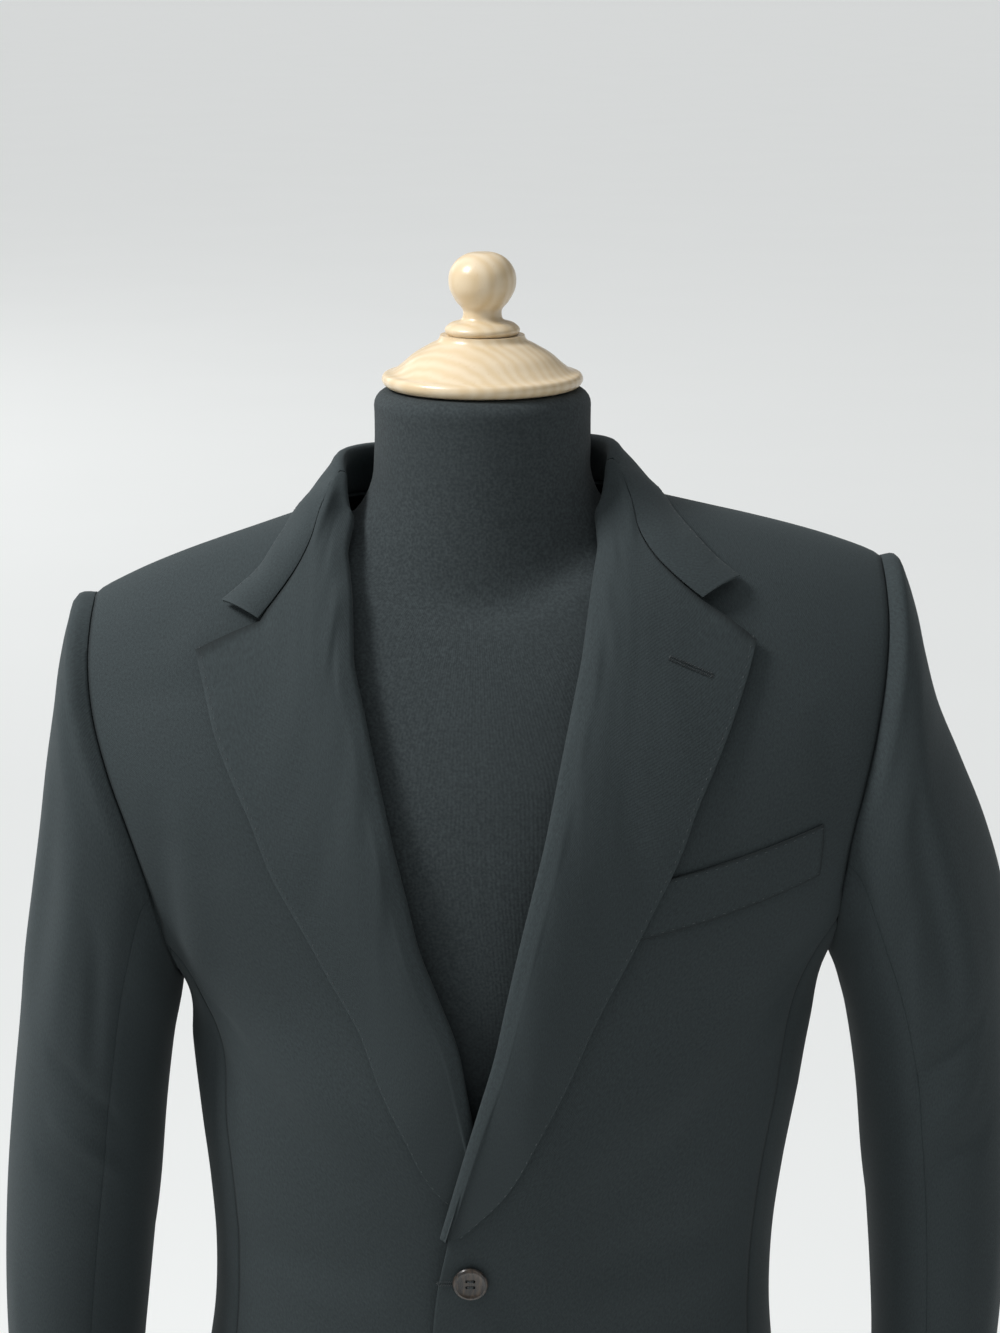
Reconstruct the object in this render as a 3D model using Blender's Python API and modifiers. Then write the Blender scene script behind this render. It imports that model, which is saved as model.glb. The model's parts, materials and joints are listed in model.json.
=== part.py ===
"""Sport coat on a dress form: the coat's cut pieces and the turned stand that carries it.

Sizes are millimetres and are turned into metres as each mesh is made. +Z is up, the coat's
front faces -Y and +X is the wearer's left. The origin is the centre of the base's underside.

The coat's outer surface is a stack of rings around the body. A place on it is an angle, 0 at
the centre front, 90 over the wearer's left shoulder and 180 at the centre back, and a distance
down from the neck seam. Each cut piece is a patch of that surface between its own seams.
"""

import math
from collections import namedtuple

import bmesh
import bpy
import numpy as np
from mathutils import Vector

COLLECTION = "sport coat"
MM = 0.001                      # one millimetre in metres

# Cloth and seams
WALL = 2.0                      # outer cloth with its interlining
WELT_WALL = 1.5
SEAM_GAP = 0.36                 # between two pieces at a seam
LAYER_GAP = 0.5                 # between two pieces that lie on each other
SLEEVE_CLEARANCE = 0.35         # from the armhole out to the sleeve's edge
LEFT, RIGHT = 1, -1             # the wearer's sides

# The coat hangs a little askew: its left shoulder sits higher
LEAN = 0.048                    # rise for each millimetre towards the wearer's left
LEAN_STARTS, LEAN_FULL = 800.0, 1200.0
LEAN_FADES, LEAN_ENDS = 1500.0, 1560.0

Level = namedtuple("Level", "down half_width sway side_z front_depth front_z"
                            " back_depth back_z roundness")
COAT_LEVELS = (
    Level(0,    80,    -2.5, 1487, 68,  1441, 68,  1478, 2.2),    # neck seam
    Level(60,   135,   0,    1472, 98,  1404, 91,  1450, 1.9),
    Level(110,  183,   2,    1458, 113, 1373, 104, 1422, 1.7),
    Level(157,  227,   4,    1440, 124, 1345, 112, 1395, 1.6),    # shoulder point
    Level(195,  262,   4,    1417, 129, 1322, 117, 1368, 1.6),
    Level(245,  280,   5,    1370, 132, 1296, 121, 1332, 1.7),
    Level(305,  262,   8,    1302, 134, 1258, 124, 1282, 1.8),
    Level(385,  190.5, 14,   1205, 134, 1198, 124, 1203, 2.1),    # foot of the armhole
    Level(430,  184,   12,   1160, 132, 1155, 121, 1159, 2.2),
    Level(570,  168,   7,    1020, 121, 1018, 98,  1020, 2.3),    # waist
    Level(750,  190,   2,    840,  126, 839,  118, 840,  2.3),
    Level(860,  196,   1,    730,  128, 729,  123, 730,  2.3),
)
SHOULDER_DOWN = 157.0
ARMPIT_DOWN = 385.0
HEM_DOWN = 835.0

ArmholeRow = namedtuple("ArmholeRow", "height half_width sway")
ARMHOLE = (
    ArmholeRow(1205, 190.5, 14),
    ArmholeRow(1245, 193,   12),
    ArmholeRow(1280, 198,   10),
    ArmholeRow(1325, 210,   8),
    ArmholeRow(1367, 222,   5),
    ArmholeRow(1413, 228,   4),
    ArmholeRow(1440, 227,   4),
)
ARMHOLE_STEP = 15               # degrees round the armhole between two points
EDGE_STEP = 0.05                # a narrow last row, so that a seam keeps its true slope
EDGE_EASE = 3                   # how soon a panel's rows leave the bend of its edge
NEAREST_TRIES = 14
FRONT_JOINT = 135               # where the side body's front seam meets the armhole
BACK_JOINT = 255                # where its back seam meets the armhole

SideSeam = namedtuple("SideSeam", "down front_angle back_angle")
SIDE_SEAMS = (
    SideSeam(430, 58, 123),
    SideSeam(570, 60, 121),
    SideSeam(750, 62, 119),
    SideSeam(HEM_DOWN, 63, 118),
)

# Front edges: where each front's visible edge stands, seen from the front
OpeningRow = namedtuple("OpeningRow", "height left_x right_x")
OPENING = (
    OpeningRow(1075, -25.5, 14.5),
    OpeningRow(1150, -5,    -4),
    OpeningRow(1230, 15.5,  -24.5),
    OpeningRow(1281, 27.5,  -38.5),
    OpeningRow(1337, 40.5,  -52),
    OpeningRow(1381, 50,    -64),
    OpeningRow(1416, 57.5,  -70),
    OpeningRow(1459, 64,    -71.5),
)
BREAK_HEIGHT = 1075.0           # the lapels start to turn here
CENTRE_X = -5.5                 # the coat's centre line
BUTTON_STAND = 20.0             # from the centre line to the front edge
CutawayRow = namedtuple("CutawayRow", "height out")
CUTAWAY = (                     # the front edge below the lower button, from the centre line
    CutawayRow(747, 62),
    CutawayRow(750, 38),
    CutawayRow(764, 12),
    CutawayRow(795, -7),
    CutawayRow(850, -16),
    CutawayRow(930, -BUTTON_STAND),
    CutawayRow(1040, -BUTTON_STAND),
)
OverlapRow = namedtuple("OverlapRow", "height lift")
OVERLAP = (                     # how far the upper front stands off the lower one
    OverlapRow(730, 2.9),
    OverlapRow(1000, 3.1),
    OverlapRow(1070, 8.5),
    OverlapRow(1185, 8.5),
    OverlapRow(1290, 2.5),
    OverlapRow(1340, 0.0),
)
OVERLAP_FULL_X, OVERLAP_ENDS_X = 22.0, 75.0

# Lapels
RollRow = namedtuple("RollRow", "height lift bulge")
ROLL = (                        # outer face above the front at the roll, and its soft bulge
    RollRow(1070, 2.4, 0.0),
    RollRow(1150, 2.7, 0.3),
    RollRow(1235, 5.0, 2.6),
    RollRow(1520, 5.0, 2.6),
)
LAPEL_EDGE_LIFT = 4.7           # outer face above the front, at the lapel's free edge
ROLL_INSET = 1.7                # from the front's own edge out to the centre of the roll
LAPEL_FOOT_WIDTH = 9.0
FACING_GAP = 2 * WALL + 0.9     # from the front's outer face to the outer face of the facing
FACING_DEPTH = 1.3              # how far the lapel's cloth returns below its roll
ROLL_STARTS = 14.0              # below the break, where the front's edge starts to draw back
RISE_FADE = 42.0                # from the roll to where the lapel lies flat again
EdgeRow = namedtuple("EdgeRow", "height left_x right_x")
LAPEL_EDGE = (
    EdgeRow(1110, 12,  -24),
    EdgeRow(1150, 34,  -44),
    EdgeRow(1190, 54,  -60),
    EdgeRow(1225, 71,  -74.5),
    EdgeRow(1256, 87.5, -91),
    EdgeRow(1290, 105, -110),
    EdgeRow(1329, 121, -127),
    EdgeRow(1352, 132, -138),
    EdgeRow(1380, 143.5, -149),
)
LAPEL_CORNER = {LEFT: (153.0, 1409.0), RIGHT: (-158.0, 1416.0)}
GORGE = {LEFT: ((90.0, 1461.0), (104.0, 1446.0)),     # seam of lapel and collar, x and height
         RIGHT: ((-97.0, 1462.0), (-108.0, 1447.0))}
NOTCH = (122.0, 1431.0)
COLLAR_TIP = (144.0, 1440.0)

# Collar: the stand and the fold over it, by angle round the neck
FoldRow = namedtuple("FoldRow", "angle height radius inset")
FOLD = (
    FoldRow(77,  21.0, 3.8,  1.4),
    FoldRow(90,  25.0, 3.4,  1.5),
    FoldRow(120, 28.0, 3.4,  1.6),
    FoldRow(180, 31.0, 3.4,  1.6),
)
GORGE_ANGLE = 78.0              # where the fold of the collar becomes the lapel's roll
CollarRow = namedtuple("CollarRow", "angle down")
COLLAR_EDGE = (
    CollarRow(64, 66),
    CollarRow(74, 40),
    CollarRow(90, 27),
    CollarRow(120, 26),
    CollarRow(150, 23),
    CollarRow(180, 22),
)
GORGE_GAP = 0.7                 # between the lapel and the collar, as both bend sharply there
COLLAR_EDGE_LIFT = 3.4
COLLAR_BULGE = 3.6

# Breast welt on the left front: corners seen from the front
WELT_INNER_LOW, WELT_INNER_HIGH = (82.0, 1253.5), (97.0, 1287.0)
WELT_OUTER_LOW, WELT_OUTER_HIGH = (190.0, 1276.0), (192.0, 1306.0)
WELT_LIFT = 0.4

# Buttons
BUTTON_RADIUS = 10.0
BUTTON_THICKNESS = 3.6
BUTTON_LIFT = 0.8               # the length of its thread shank
BUTTON_HEIGHTS = (1058.0, 958.0)

# Sleeves: outer and inner outline seen from the front, and the section's depth
SleeveRow = namedtuple("SleeveRow", "share outer_x outer_z inner_x inner_z half_depth centre_y")
SLEEVES = {
    LEFT: (
        SleeveRow(0.00, 231, 1440, 204.5, 1205, 75, -3),
        SleeveRow(0.04, 239, 1438, 207,   1200, 77, -4),
        SleeveRow(0.09, 248, 1421, 210,   1193, 80, -5),
        SleeveRow(0.15, 255, 1392, 213,   1183, 82, -6),
        SleeveRow(0.23, 266, 1352, 217,   1168, 82, -7),
        SleeveRow(0.32, 285, 1308, 221,   1146, 80, -8),
        SleeveRow(0.43, 304, 1254, 226,   1112, 77, -9),
        SleeveRow(0.55, 313, 1186, 231,   1065, 73, -10),
        SleeveRow(0.68, 316, 1100, 236,   1008, 69, -13),
        SleeveRow(0.82, 312, 990,  238,   940,  62, -21),
        SleeveRow(0.92, 303, 905,  235,   882,  57, -29),
        SleeveRow(1.00, 297, 838,  231,   838,  54, -35),
    ),
    RIGHT: (
        SleeveRow(0.00, -223, 1440, -176.5, 1205, 75, -3),
        SleeveRow(0.04, -233, 1437, -178,   1200, 77, -4),
        SleeveRow(0.09, -241, 1417, -179,   1193, 80, -5),
        SleeveRow(0.15, -246, 1387, -181,   1183, 82, -6),
        SleeveRow(0.23, -253, 1343, -184,   1168, 82, -7),
        SleeveRow(0.32, -259, 1297, -187,   1146, 80, -8),
        SleeveRow(0.43, -267, 1247, -191,   1112, 77, -9),
        SleeveRow(0.55, -274, 1184, -196,   1065, 73, -10),
        SleeveRow(0.68, -283, 1100, -202,   1008, 69, -13),
        SleeveRow(0.82, -286, 990,  -208,   940,  62, -21),
        SleeveRow(0.92, -281, 905,  -210,   882,  57, -29),
        SleeveRow(1.00, -277, 838,  -209,   838,  54, -35),
    ),
}
SLEEVE_FRONT_SEAM = 112.5       # degrees round the sleeve from its top
SLEEVE_BACK_SEAM = 262.5
SEAM_STEP = 3                   # degrees of the narrow strip beside each sleeve seam
SLEEVE_ROUNDNESS = 2.15
SLEEVE_SHARES = (0, .015, .04, .07, .11, .16, .22, .29, .37, .45, .53, .61, .69, .77, .85,
                 .93, 1)

# Dress form: its rings follow the coat's, set further in
FORM_LEVELS = (
    Level(-78,  62,   1,  1548, 62,  1548, 58,  1548, 2.0),    # top of the neck
    Level(-45,  62,   1,  1516, 61,  1512, 57,  1516, 2.0),
    Level(-18,  64,   0,  1494, 60,  1470, 56,  1492, 2.0),
    Level(0,    72,  -1,  1480, 61,  1440, 59,  1470, 2.1),
    Level(30,   100,  0,  1473, 76,  1418, 73,  1456, 2.0),
    Level(60,   132,  1,  1468.9, 89, 1396, 81, 1441, 1.85),
    Level(110,  178,  2,  1455.4, 104, 1364, 93, 1412, 1.68),
    Level(150,  206,  4,  1434, 112, 1340, 102, 1389, 1.75),
    Level(195,  214,  4,  1402, 117, 1314, 109, 1358, 1.9),
    Level(245,  206,  5,  1358, 120, 1288, 112, 1322, 2.0),
    Level(305,  192,  8,  1298, 121, 1252, 114, 1276, 2.0),
    Level(385,  175,  12, 1206, 121, 1198, 113, 1203, 2.1),
    Level(470,  163,  10, 1120, 118, 1116, 104, 1119, 2.1),
    Level(570,  154,  7,  1020, 108, 1018, 86,  1020, 2.2),
    Level(700,  172,  3,  890,  112, 889,  104, 890,  2.2),
    Level(790,  178,  1,  800,  114, 800,  108, 800,  2.2),
    Level(865,  176,  1,  725,  112, 725,  107, 725,  2.2),
)
FORM_COLUMNS = 32

# Stand, all turned: radius and height down the outer side
BASE_RADIUS = 180.0
BASE_THICKNESS = 26.0
POLE_RADIUS = 16.0
FORM_FOOT_Z = 725.0
CAP_PROFILE = (                 # from the top of the cap down to its underside
    (24.0, 1578.5), (25.0, 1576.0), (30.0, 1573.0), (40.0, 1567.0), (47.0, 1561.0),
    (52.0, 1557.5), (56.5, 1556.0), (57.5, 1553.5), (56.5, 1551.0), (52.0, 1548.6),
)
FINIAL_PROFILE = (
    (6.0, 1625.0), (13.0, 1622.0), (18.5, 1614.5), (19.0, 1606.0), (15.0, 1597.5),
    (11.0, 1592.0), (11.5, 1588.0), (19.0, 1584.5), (21.5, 1581.5), (20.0, 1578.8),
)
CAP_X = 1.0
TURNED_STEPS = 28
BUTTON_STEPS = 20

CLOTH = ("charcoal wool cloth", (0.040, 0.050, 0.050, 1), 0.85, 0.0)
HORN = ("dark horn button", (0.020, 0.018, 0.016, 1), 0.35, 0.0)
JERSEY = ("black jersey", (0.030, 0.034, 0.038, 1), 0.95, 0.0)
BEECH = ("varnished beech", (0.66, 0.47, 0.29, 1), 0.35, 0.0)
STEEL = ("painted steel", (0.03, 0.03, 0.03, 1), 0.45, 0.6)


# --- tables, surface and lines ---------------------------------------------------------

class Table:
    """Rows of named values, read smoothly at any value of their first column."""

    def __init__(self, rows):
        self.kind = type(rows[0])
        self.values = np.array(rows, float)
        self.keys = self.values[:, 0]
        steps = np.diff(self.keys)
        slopes = np.diff(self.values, axis=0) / steps[:, None]
        self.slopes = np.empty_like(self.values)
        self.slopes[0], self.slopes[-1] = slopes[0], slopes[-1]
        share = (steps[1:] / (steps[:-1] + steps[1:]))[:, None]
        self.slopes[1:-1] = share * slopes[:-1] + (1 - share) * slopes[1:]

    def __call__(self, key):
        first, last = self.keys[0], self.keys[-1]
        if key <= first:
            return self.kind(*(self.values[0] + self.slopes[0] * (key - first)))
        if key >= last:
            return self.kind(*(self.values[-1] + self.slopes[-1] * (key - last)))
        i = int(np.searchsorted(self.keys, key)) - 1
        step = self.keys[i + 1] - self.keys[i]
        u = (key - self.keys[i]) / step
        start, end = self.values[i], self.values[i + 1]
        blend = u * u * (3 - 2 * u)
        leave = u * (1 - u) ** 2 * step
        arrive = u * u * (u - 1) * step
        return self.kind(*(start + (end - start) * blend
                           + leave * self.slopes[i] + arrive * self.slopes[i + 1]))


COAT = Table(COAT_LEVELS)
FORM = Table(FORM_LEVELS)
ARMHOLE_LINE = Table(ARMHOLE)
SIDE_LINE = Table(SIDE_SEAMS)
OPENING_LINE = Table(OPENING)
FOLD_LINE = Table(FOLD)


def smooth_step(value, start, end):
    """0 before start, 1 after end and a smooth change between them."""
    u = min(1.0, max(0.0, (value - start) / (end - start)))
    return u * u * (3 - 2 * u)


def straight(rows, key):
    """A table of two named columns, read in straight runs."""
    table = np.array(rows, float)
    return [float(np.interp(key, table[:, 0], table[:, c])) for c in range(1, table.shape[1])]


def unit(vector):
    return vector / np.linalg.norm(vector)


def body_point(levels, angle, down):
    """A place on a ringed body, at an angle round it and a distance down from the neck."""
    level = levels(down)
    across = math.sin(math.radians(angle))
    ahead = math.cos(math.radians(angle))
    n = level.roundness
    reach = (abs(across) ** n + abs(ahead) ** n) ** (-1 / n)
    depth, end_z = (level.front_depth, level.front_z) if ahead > 0 \
        else (level.back_depth, level.back_z)
    return np.array([level.sway + level.half_width * reach * across,
                     -depth * reach * ahead,
                     end_z + (level.side_z - end_z) * across * across])


def body_normal(levels, angle, down):
    """The outward direction of a ringed body."""
    around = body_point(levels, angle + 0.5, down) - body_point(levels, angle - 0.5, down)
    along = body_point(levels, angle, down + 1) - body_point(levels, angle, down - 1)
    return unit(np.cross(along, around))


def settle(point):
    """The coat's slight lean, applied to every piece that hangs from the shoulders."""
    x, y, z = point
    lean = smooth_step(z, LEAN_STARTS, LEAN_FULL) * (1 - smooth_step(z, LEAN_FADES, LEAN_ENDS))
    return np.array([x, y, z + LEAN * x * lean])


def overlap_lift(side, point):
    """How far the upper front is lifted to pass over the lower one."""
    if side != LEFT or point[1] > 0:
        return 0.0
    return straight(OVERLAP, point[2])[0] * (1 - smooth_step(point[0], OVERLAP_FULL_X,
                                                             OVERLAP_ENDS_X))


def coat_point(side, place, lift=0.0):
    """A point on the coat, or above it by a lift; the angle of the place runs from the front."""
    angle, down = side * place[0], place[1]
    point = body_point(COAT, angle, down)
    total = lift + overlap_lift(side, point)
    return point + body_normal(COAT, angle, down) * total if total else point


def place_from_front(side, x, height):
    """The place on the coat's front that is seen at x and height."""
    place = np.array([35.0, max(10.0, 1440.0 - height)])
    aim = np.array([x, height])
    for _ in range(80):
        here = body_point(COAT, side * place[0], place[1])[[0, 2]]
        miss = aim - here
        if np.abs(miss).max() < 1e-4:
            return place
        turn = (body_point(COAT, side * (place[0] + 0.1), place[1])[[0, 2]] - here) / 0.1
        fall = (body_point(COAT, side * place[0], place[1] + 0.1)[[0, 2]] - here) / 0.1
        step = np.linalg.solve(np.column_stack([turn, fall]), miss)
        place = place + np.clip(step, (-6, -25), (6, 25))
        place[1] = max(place[1], -15.0)
    raise ValueError(f"no place on the front at x {x}, height {height}")


def armhole_place(side, turn):
    """The place on the armhole at a turn, from 0 at the shoulder over the front to 180."""
    turn = turn % 360
    middle, half = (SHOULDER_DOWN + ARMPIT_DOWN) / 2, (ARMPIT_DOWN - SHOULDER_DOWN) / 2
    down = middle - half * math.cos(math.radians(turn))
    if turn in (0, 180):
        return np.array([90.0, down])
    inner, outer = (0.0, 90.0) if turn < 180 else (180.0, 90.0)
    for _ in range(40):
        angle = (inner + outer) / 2
        point = body_point(COAT, side * angle, down)
        line = ARMHOLE_LINE(point[2])
        if side * (point[0] - line.sway) < line.half_width:
            inner = angle
        else:
            outer = angle
    return np.array([angle, down])


def armhole_places(side, start, end):
    step = ARMHOLE_STEP if end > start else -ARMHOLE_STEP
    return np.array([armhole_place(side, turn) for turn in range(start, end + step, step)])


def line_places(side, controls, shares):
    """Places on a smooth line through the controls, at shares of its real length."""
    controls = np.array(controls, float)
    points = np.array([coat_point(side, c) for c in controls])
    reach = np.concatenate([[0], np.cumsum(np.linalg.norm(np.diff(points, axis=0), axis=1))])
    row = namedtuple("LineRow", "reach angle down")
    line = Table([row(r, *c) for r, c in zip(reach, controls)])
    fine = np.linspace(0, reach[-1], 160)
    places = np.array([line(r)[1:] for r in fine])
    points = np.array([coat_point(side, p) for p in places])
    length = np.concatenate([[0], np.cumsum(np.linalg.norm(np.diff(points, axis=0), axis=1))])
    wanted = np.asarray(shares) * length[-1]
    return np.column_stack([np.interp(wanted, length, places[:, c]) for c in (0, 1)])


def length_shares(points):
    """Each point's share of the whole length along a line."""
    length = np.linalg.norm(np.diff(points, axis=0), axis=1)
    return np.concatenate([[0], np.cumsum(length)]) / length.sum()


def ruled(edges, across, upward):
    """Straight rows from the left edge to the right one, eased into the bottom and the top."""
    bottom, top, left, right = edges
    rows = (1 - across) * left[:, None] + across * right[:, None]
    return (rows + (top - rows[-1]) * upward ** EDGE_EASE
            + (bottom - rows[0]) * (1 - upward) ** EDGE_EASE)


def nearest_place(side, place, target):
    """The place on the coat nearest to a point, found from a place beside it."""
    for _ in range(NEAREST_TRIES):
        here = body_point(COAT, side * place[0], place[1])
        turn = body_point(COAT, side * (place[0] + 1), place[1]) - here
        fall = body_point(COAT, side * place[0], place[1] + 1) - here
        step, *_ = np.linalg.lstsq(np.column_stack([turn, fall]), target - here, rcond=None)
        place = place + np.clip(step, (-6, -25), (6, 25))
        if np.abs(step).max() < 0.01:
            break
    return place


def patch(side, bottom, top, left, right):
    """Places inside four edges of places: bottom and top run left to right, the others up."""
    edges = (bottom, top, left, right)
    lines = [np.array([body_point(COAT, side * angle, down) for angle, down in edge])
             for edge in edges]
    across = length_shares(lines[1])[None, :, None]
    upward = length_shares(lines[3])[:, None, None]
    wanted = ruled(lines, across, upward)
    places = ruled(edges, across, upward)
    for row in range(1, len(left) - 1):
        for column in range(1, len(top) - 1):
            places[row, column] = nearest_place(side, places[row, column], wanted[row, column])
    return places


def halved(points):
    """The line with a point in the middle of each of its steps."""
    middles = (points[1:] + points[:-1]) / 2
    return np.insert(points, range(1, len(points)), middles, axis=0)


def edged(count, edge):
    """Even shares with a narrow step at each end, so that a seam keeps its true slope."""
    inner = np.linspace(edge, 1 - edge, count - 1)
    return np.concatenate([[0], inner, [1]])


def trimmed(grid, gap=SEAM_GAP / 2, sides="btlr"):
    """The grid with its chosen edges moved inwards: bottom, top, left and right."""
    grid = grid.copy()
    views = {"b": lambda g: g, "t": lambda g: g[::-1],
             "l": lambda g: g.transpose(1, 0, 2), "r": lambda g: g.transpose(1, 0, 2)[::-1]}
    for side in sides:
        view = views[side](grid)
        tangent = np.gradient(view[0], axis=0)
        tangent /= np.linalg.norm(tangent, axis=1)[:, None]
        inward = view[1] - view[0]
        inward /= np.linalg.norm(inward, axis=1)[:, None]
        square = np.linalg.norm(inward - (inward * tangent).sum(1)[:, None] * tangent, axis=1)
        view[0] += inward * (gap / np.maximum(square, 0.5))[:, None]
    return grid


# --- Blender objects -------------------------------------------------------------------

def make_material(name, color, roughness, metallic):
    """One plain material."""
    material = bpy.data.materials.new(name)
    material.use_nodes = True
    shader = material.node_tree.nodes["Principled BSDF"]
    shader.inputs["Base Color"].default_value = color
    shader.inputs["Roughness"].default_value = roughness
    shader.inputs["Metallic"].default_value = metallic
    material.diffuse_color = color
    return material


def add_object(name, mesh, material):
    """A named object in the part's collection, with a material of its own."""
    for polygon in mesh.polygons:
        polygon.use_smooth = True
    mesh.set_sharp_from_angle(angle=math.radians(40))
    mesh.materials.append(make_material(f"{name} {material[0]}", *material[1:]))
    item = bpy.data.objects.new(name, mesh)
    bpy.data.collections[COLLECTION].objects.link(item)
    return item


def add_sheet(name, grid, outward, wall, material, kept=None):
    """A cloth piece: a grid of points on its outer side, thickened away from that side."""
    rows, columns = grid.shape[:2]
    shell = bmesh.new()
    bmesh.ops.create_grid(shell, x_segments=columns - 1, y_segments=rows - 1, size=1)
    shell.verts.ensure_lookup_table()
    for index, vertex in enumerate(shell.verts):
        vertex.co = settle(grid[index // columns, index % columns]) * MM
    if kept is not None:
        shell.faces.ensure_lookup_table()
        lost = [face for index, face in enumerate(shell.faces)
                if not kept[index // (columns - 1), index % (columns - 1)]]
        bmesh.ops.delete(shell, geom=lost, context="FACES")
    shell.normal_update()
    if sum(np.dot(face.normal, outward(np.array(face.calc_center_median()) / MM))
           * face.calc_area() for face in shell.faces) < 0:
        bmesh.ops.reverse_faces(shell, faces=shell.faces)
    mesh = bpy.data.meshes.new(name)
    shell.to_mesh(mesh)
    shell.free()
    item = add_object(name, mesh, material)
    thick = item.modifiers.new("wall", "SOLIDIFY")
    thick.thickness = wall * MM
    thick.offset = -1
    thick.use_even_offset = True
    return item


def add_turned(name, profile, centre, material, steps=TURNED_STEPS):
    """A turned piece: its profile runs down the outer side, from axis to axis."""
    points = [(0.0, profile[0][1]), *profile, (0.0, profile[-1][1])]
    mesh = bpy.data.meshes.new(name)
    mesh.from_pydata([(r * MM, 0, z * MM) for r, z in points],
                     [(i, i + 1) for i in range(len(points) - 1)], [])
    item = add_object(name, mesh, material)
    item.location = (centre[0] * MM, centre[1] * MM, 0)
    turn = item.modifiers.new("turn", "SCREW")
    turn.steps = turn.render_steps = steps
    turn.use_merge_vertices = True
    turn.merge_threshold = 0.00001
    turn.use_smooth_shade = True
    return item


def away_from_axis(point):
    return np.array([point[0], point[1], 0.0])


# --- the coat's panels -----------------------------------------------------------------

LOW_SHARES = (0, .015, .035, .065, .11, .18, .27, .37, .47, .57, .67, .77, .88, .975, 1)
SHOULDER_SHARES = edged(8, 0.03)
ROLL_SHARES = (0, .12, .26, .4, .54, .67, .78, .87, .94, 1)     # from the break to the neck
FRONT_NECK_CELLS = 2
BACK_NECK_CELLS = 4


def opening_x(side, height):
    row = OPENING_LINE(height)
    return row.left_x if side == LEFT else row.right_x


def roll_setback(height):
    """From the visible edge of the roll back to the front's own edge."""
    lift = straight(ROLL, height)[0]
    radius = (lift + FACING_GAP) / 2
    return (radius + ROLL_INSET) * smooth_step(height, BREAK_HEIGHT - ROLL_STARTS, BREAK_HEIGHT)


def front_edge_controls(side):
    """The front's own edge from the hem up to the neck seam."""
    low = [place_from_front(side, CENTRE_X + side * row.out, row.height) for row in CUTAWAY]
    high = [place_from_front(side, opening_x(side, h) + side * roll_setback(h), h)
            for h in (1085, 1150, 1230, 1281, 1337, 1381, 1416, 1448)]
    return low, high + [np.array([neck_angle(side), 0.0])]


def neck_angle(side):
    """Where the front's edge meets the neck seam, found from the edge's distance out."""
    reach = abs(opening_x(side, 1462) + side * roll_setback(1462) - COAT(0).sway)
    angles = np.linspace(40, 89, 99)
    outs = [abs(body_point(COAT, side * a, 0)[0] - COAT(0).sway) for a in angles]
    return float(np.interp(reach, outs, angles))


def side_seam(side, joint_turn, angle_name):
    """A side body seam from the hem up to the armhole, as controls."""
    low = [np.array([getattr(SIDE_LINE(d), angle_name), d]) for d in (HEM_DOWN, 750, 660, 570, 470)]
    return low + [armhole_place(side, joint_turn)]


def neck_and_shoulder(side, start_angle, neck_cells):
    """The top edge of a panel: along the neck seam, then out along the shoulder seam."""
    neck = np.column_stack([np.linspace(start_angle, 90, neck_cells + 1),
                            np.zeros(neck_cells + 1)])
    shoulder = np.column_stack([np.full(len(SHOULDER_SHARES), 90.0),
                                SHOULDER_SHARES * SHOULDER_DOWN])
    return np.vstack([neck, shoulder[1:]])


def with_edge_step(places):
    """The line with one more place, close to its end."""
    return np.insert(places, -1, places[-1] + (places[-2] - places[-1]) * EDGE_STEP, axis=0)


def panel_grid(side, places):
    return np.array([[coat_point(side, place) for place in row] for row in places])


def hem_places(start, end, count):
    """A hem edge between two angles."""
    angles = start + (end - start) * edged(count, 0.03)
    return np.column_stack([angles, np.full(count + 1, HEM_DOWN)])


def front_places(side):
    low, high = front_edge_controls(side)
    arm = armhole_places(side, FRONT_JOINT, 0)
    edge_low = line_places(side, low + high[:1], LOW_SHARES)
    edge_high = line_places(side, high, ROLL_SHARES)
    left = with_edge_step(np.vstack([edge_low, edge_high[1:]]))
    seam = line_places(side, side_seam(side, FRONT_JOINT, "front_angle"), LOW_SHARES)
    right = with_edge_step(np.vstack([seam, arm[1:]]))
    top = neck_and_shoulder(side, left[-1][0], FRONT_NECK_CELLS)
    bottom = line_places(side, [left[0], (left[0] * 2 + right[0]) / 3 + (0, 1), right[0]],
                         edged(len(top) - 1, 0.03))
    return patch(side, bottom, top, left, right)


def back_places(side):
    arm = armhole_places(side, BACK_JOINT, 360)
    seam = line_places(side, side_seam(side, BACK_JOINT, "back_angle"), LOW_SHARES)
    right = with_edge_step(np.vstack([seam, arm[1:]]))
    centre = [np.array([180.0, d]) for d in (HEM_DOWN, 600, 400, 200, 0)]
    shares = np.concatenate([np.array(LOW_SHARES) * 0.68,
                             0.68 + 0.32 * np.linspace(0, 1, len(arm))[1:]])
    left = with_edge_step(line_places(side, centre, shares))
    top = neck_and_shoulder(side, 180, BACK_NECK_CELLS)
    bottom = hem_places(180, right[0][0], len(top) - 1)
    return patch(side, bottom, top, left, right)


def side_body_places(side):
    top = armhole_places(side, FRONT_JOINT, BACK_JOINT)
    top = with_edge_step(with_edge_step(top)[::-1])[::-1]
    left = line_places(side, side_seam(side, FRONT_JOINT, "front_angle"), LOW_SHARES)
    right = line_places(side, side_seam(side, BACK_JOINT, "back_angle"), LOW_SHARES)
    bottom = hem_places(left[0][0], right[0][0], len(top) - 1)
    return patch(side, bottom, top, left, right)


def add_panels(side, word):
    for name, places in (("front", front_places(side)), ("side_body", side_body_places(side)),
                         ("back", back_places(side))):
        grid = trimmed(panel_grid(side, places))
        add_sheet(f"{name}_{word}", grid, away_from_axis, WALL, CLOTH)


# --- lapels and collar -----------------------------------------------------------------

RollFrame = namedtuple("RollFrame", "seat centre up inward radius neck")
NECK_SHARES = (0.3, 0.6, 0.85, 1.0)
GORGE_CELLS = 5
NOTCH_CELLS = 3


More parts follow.
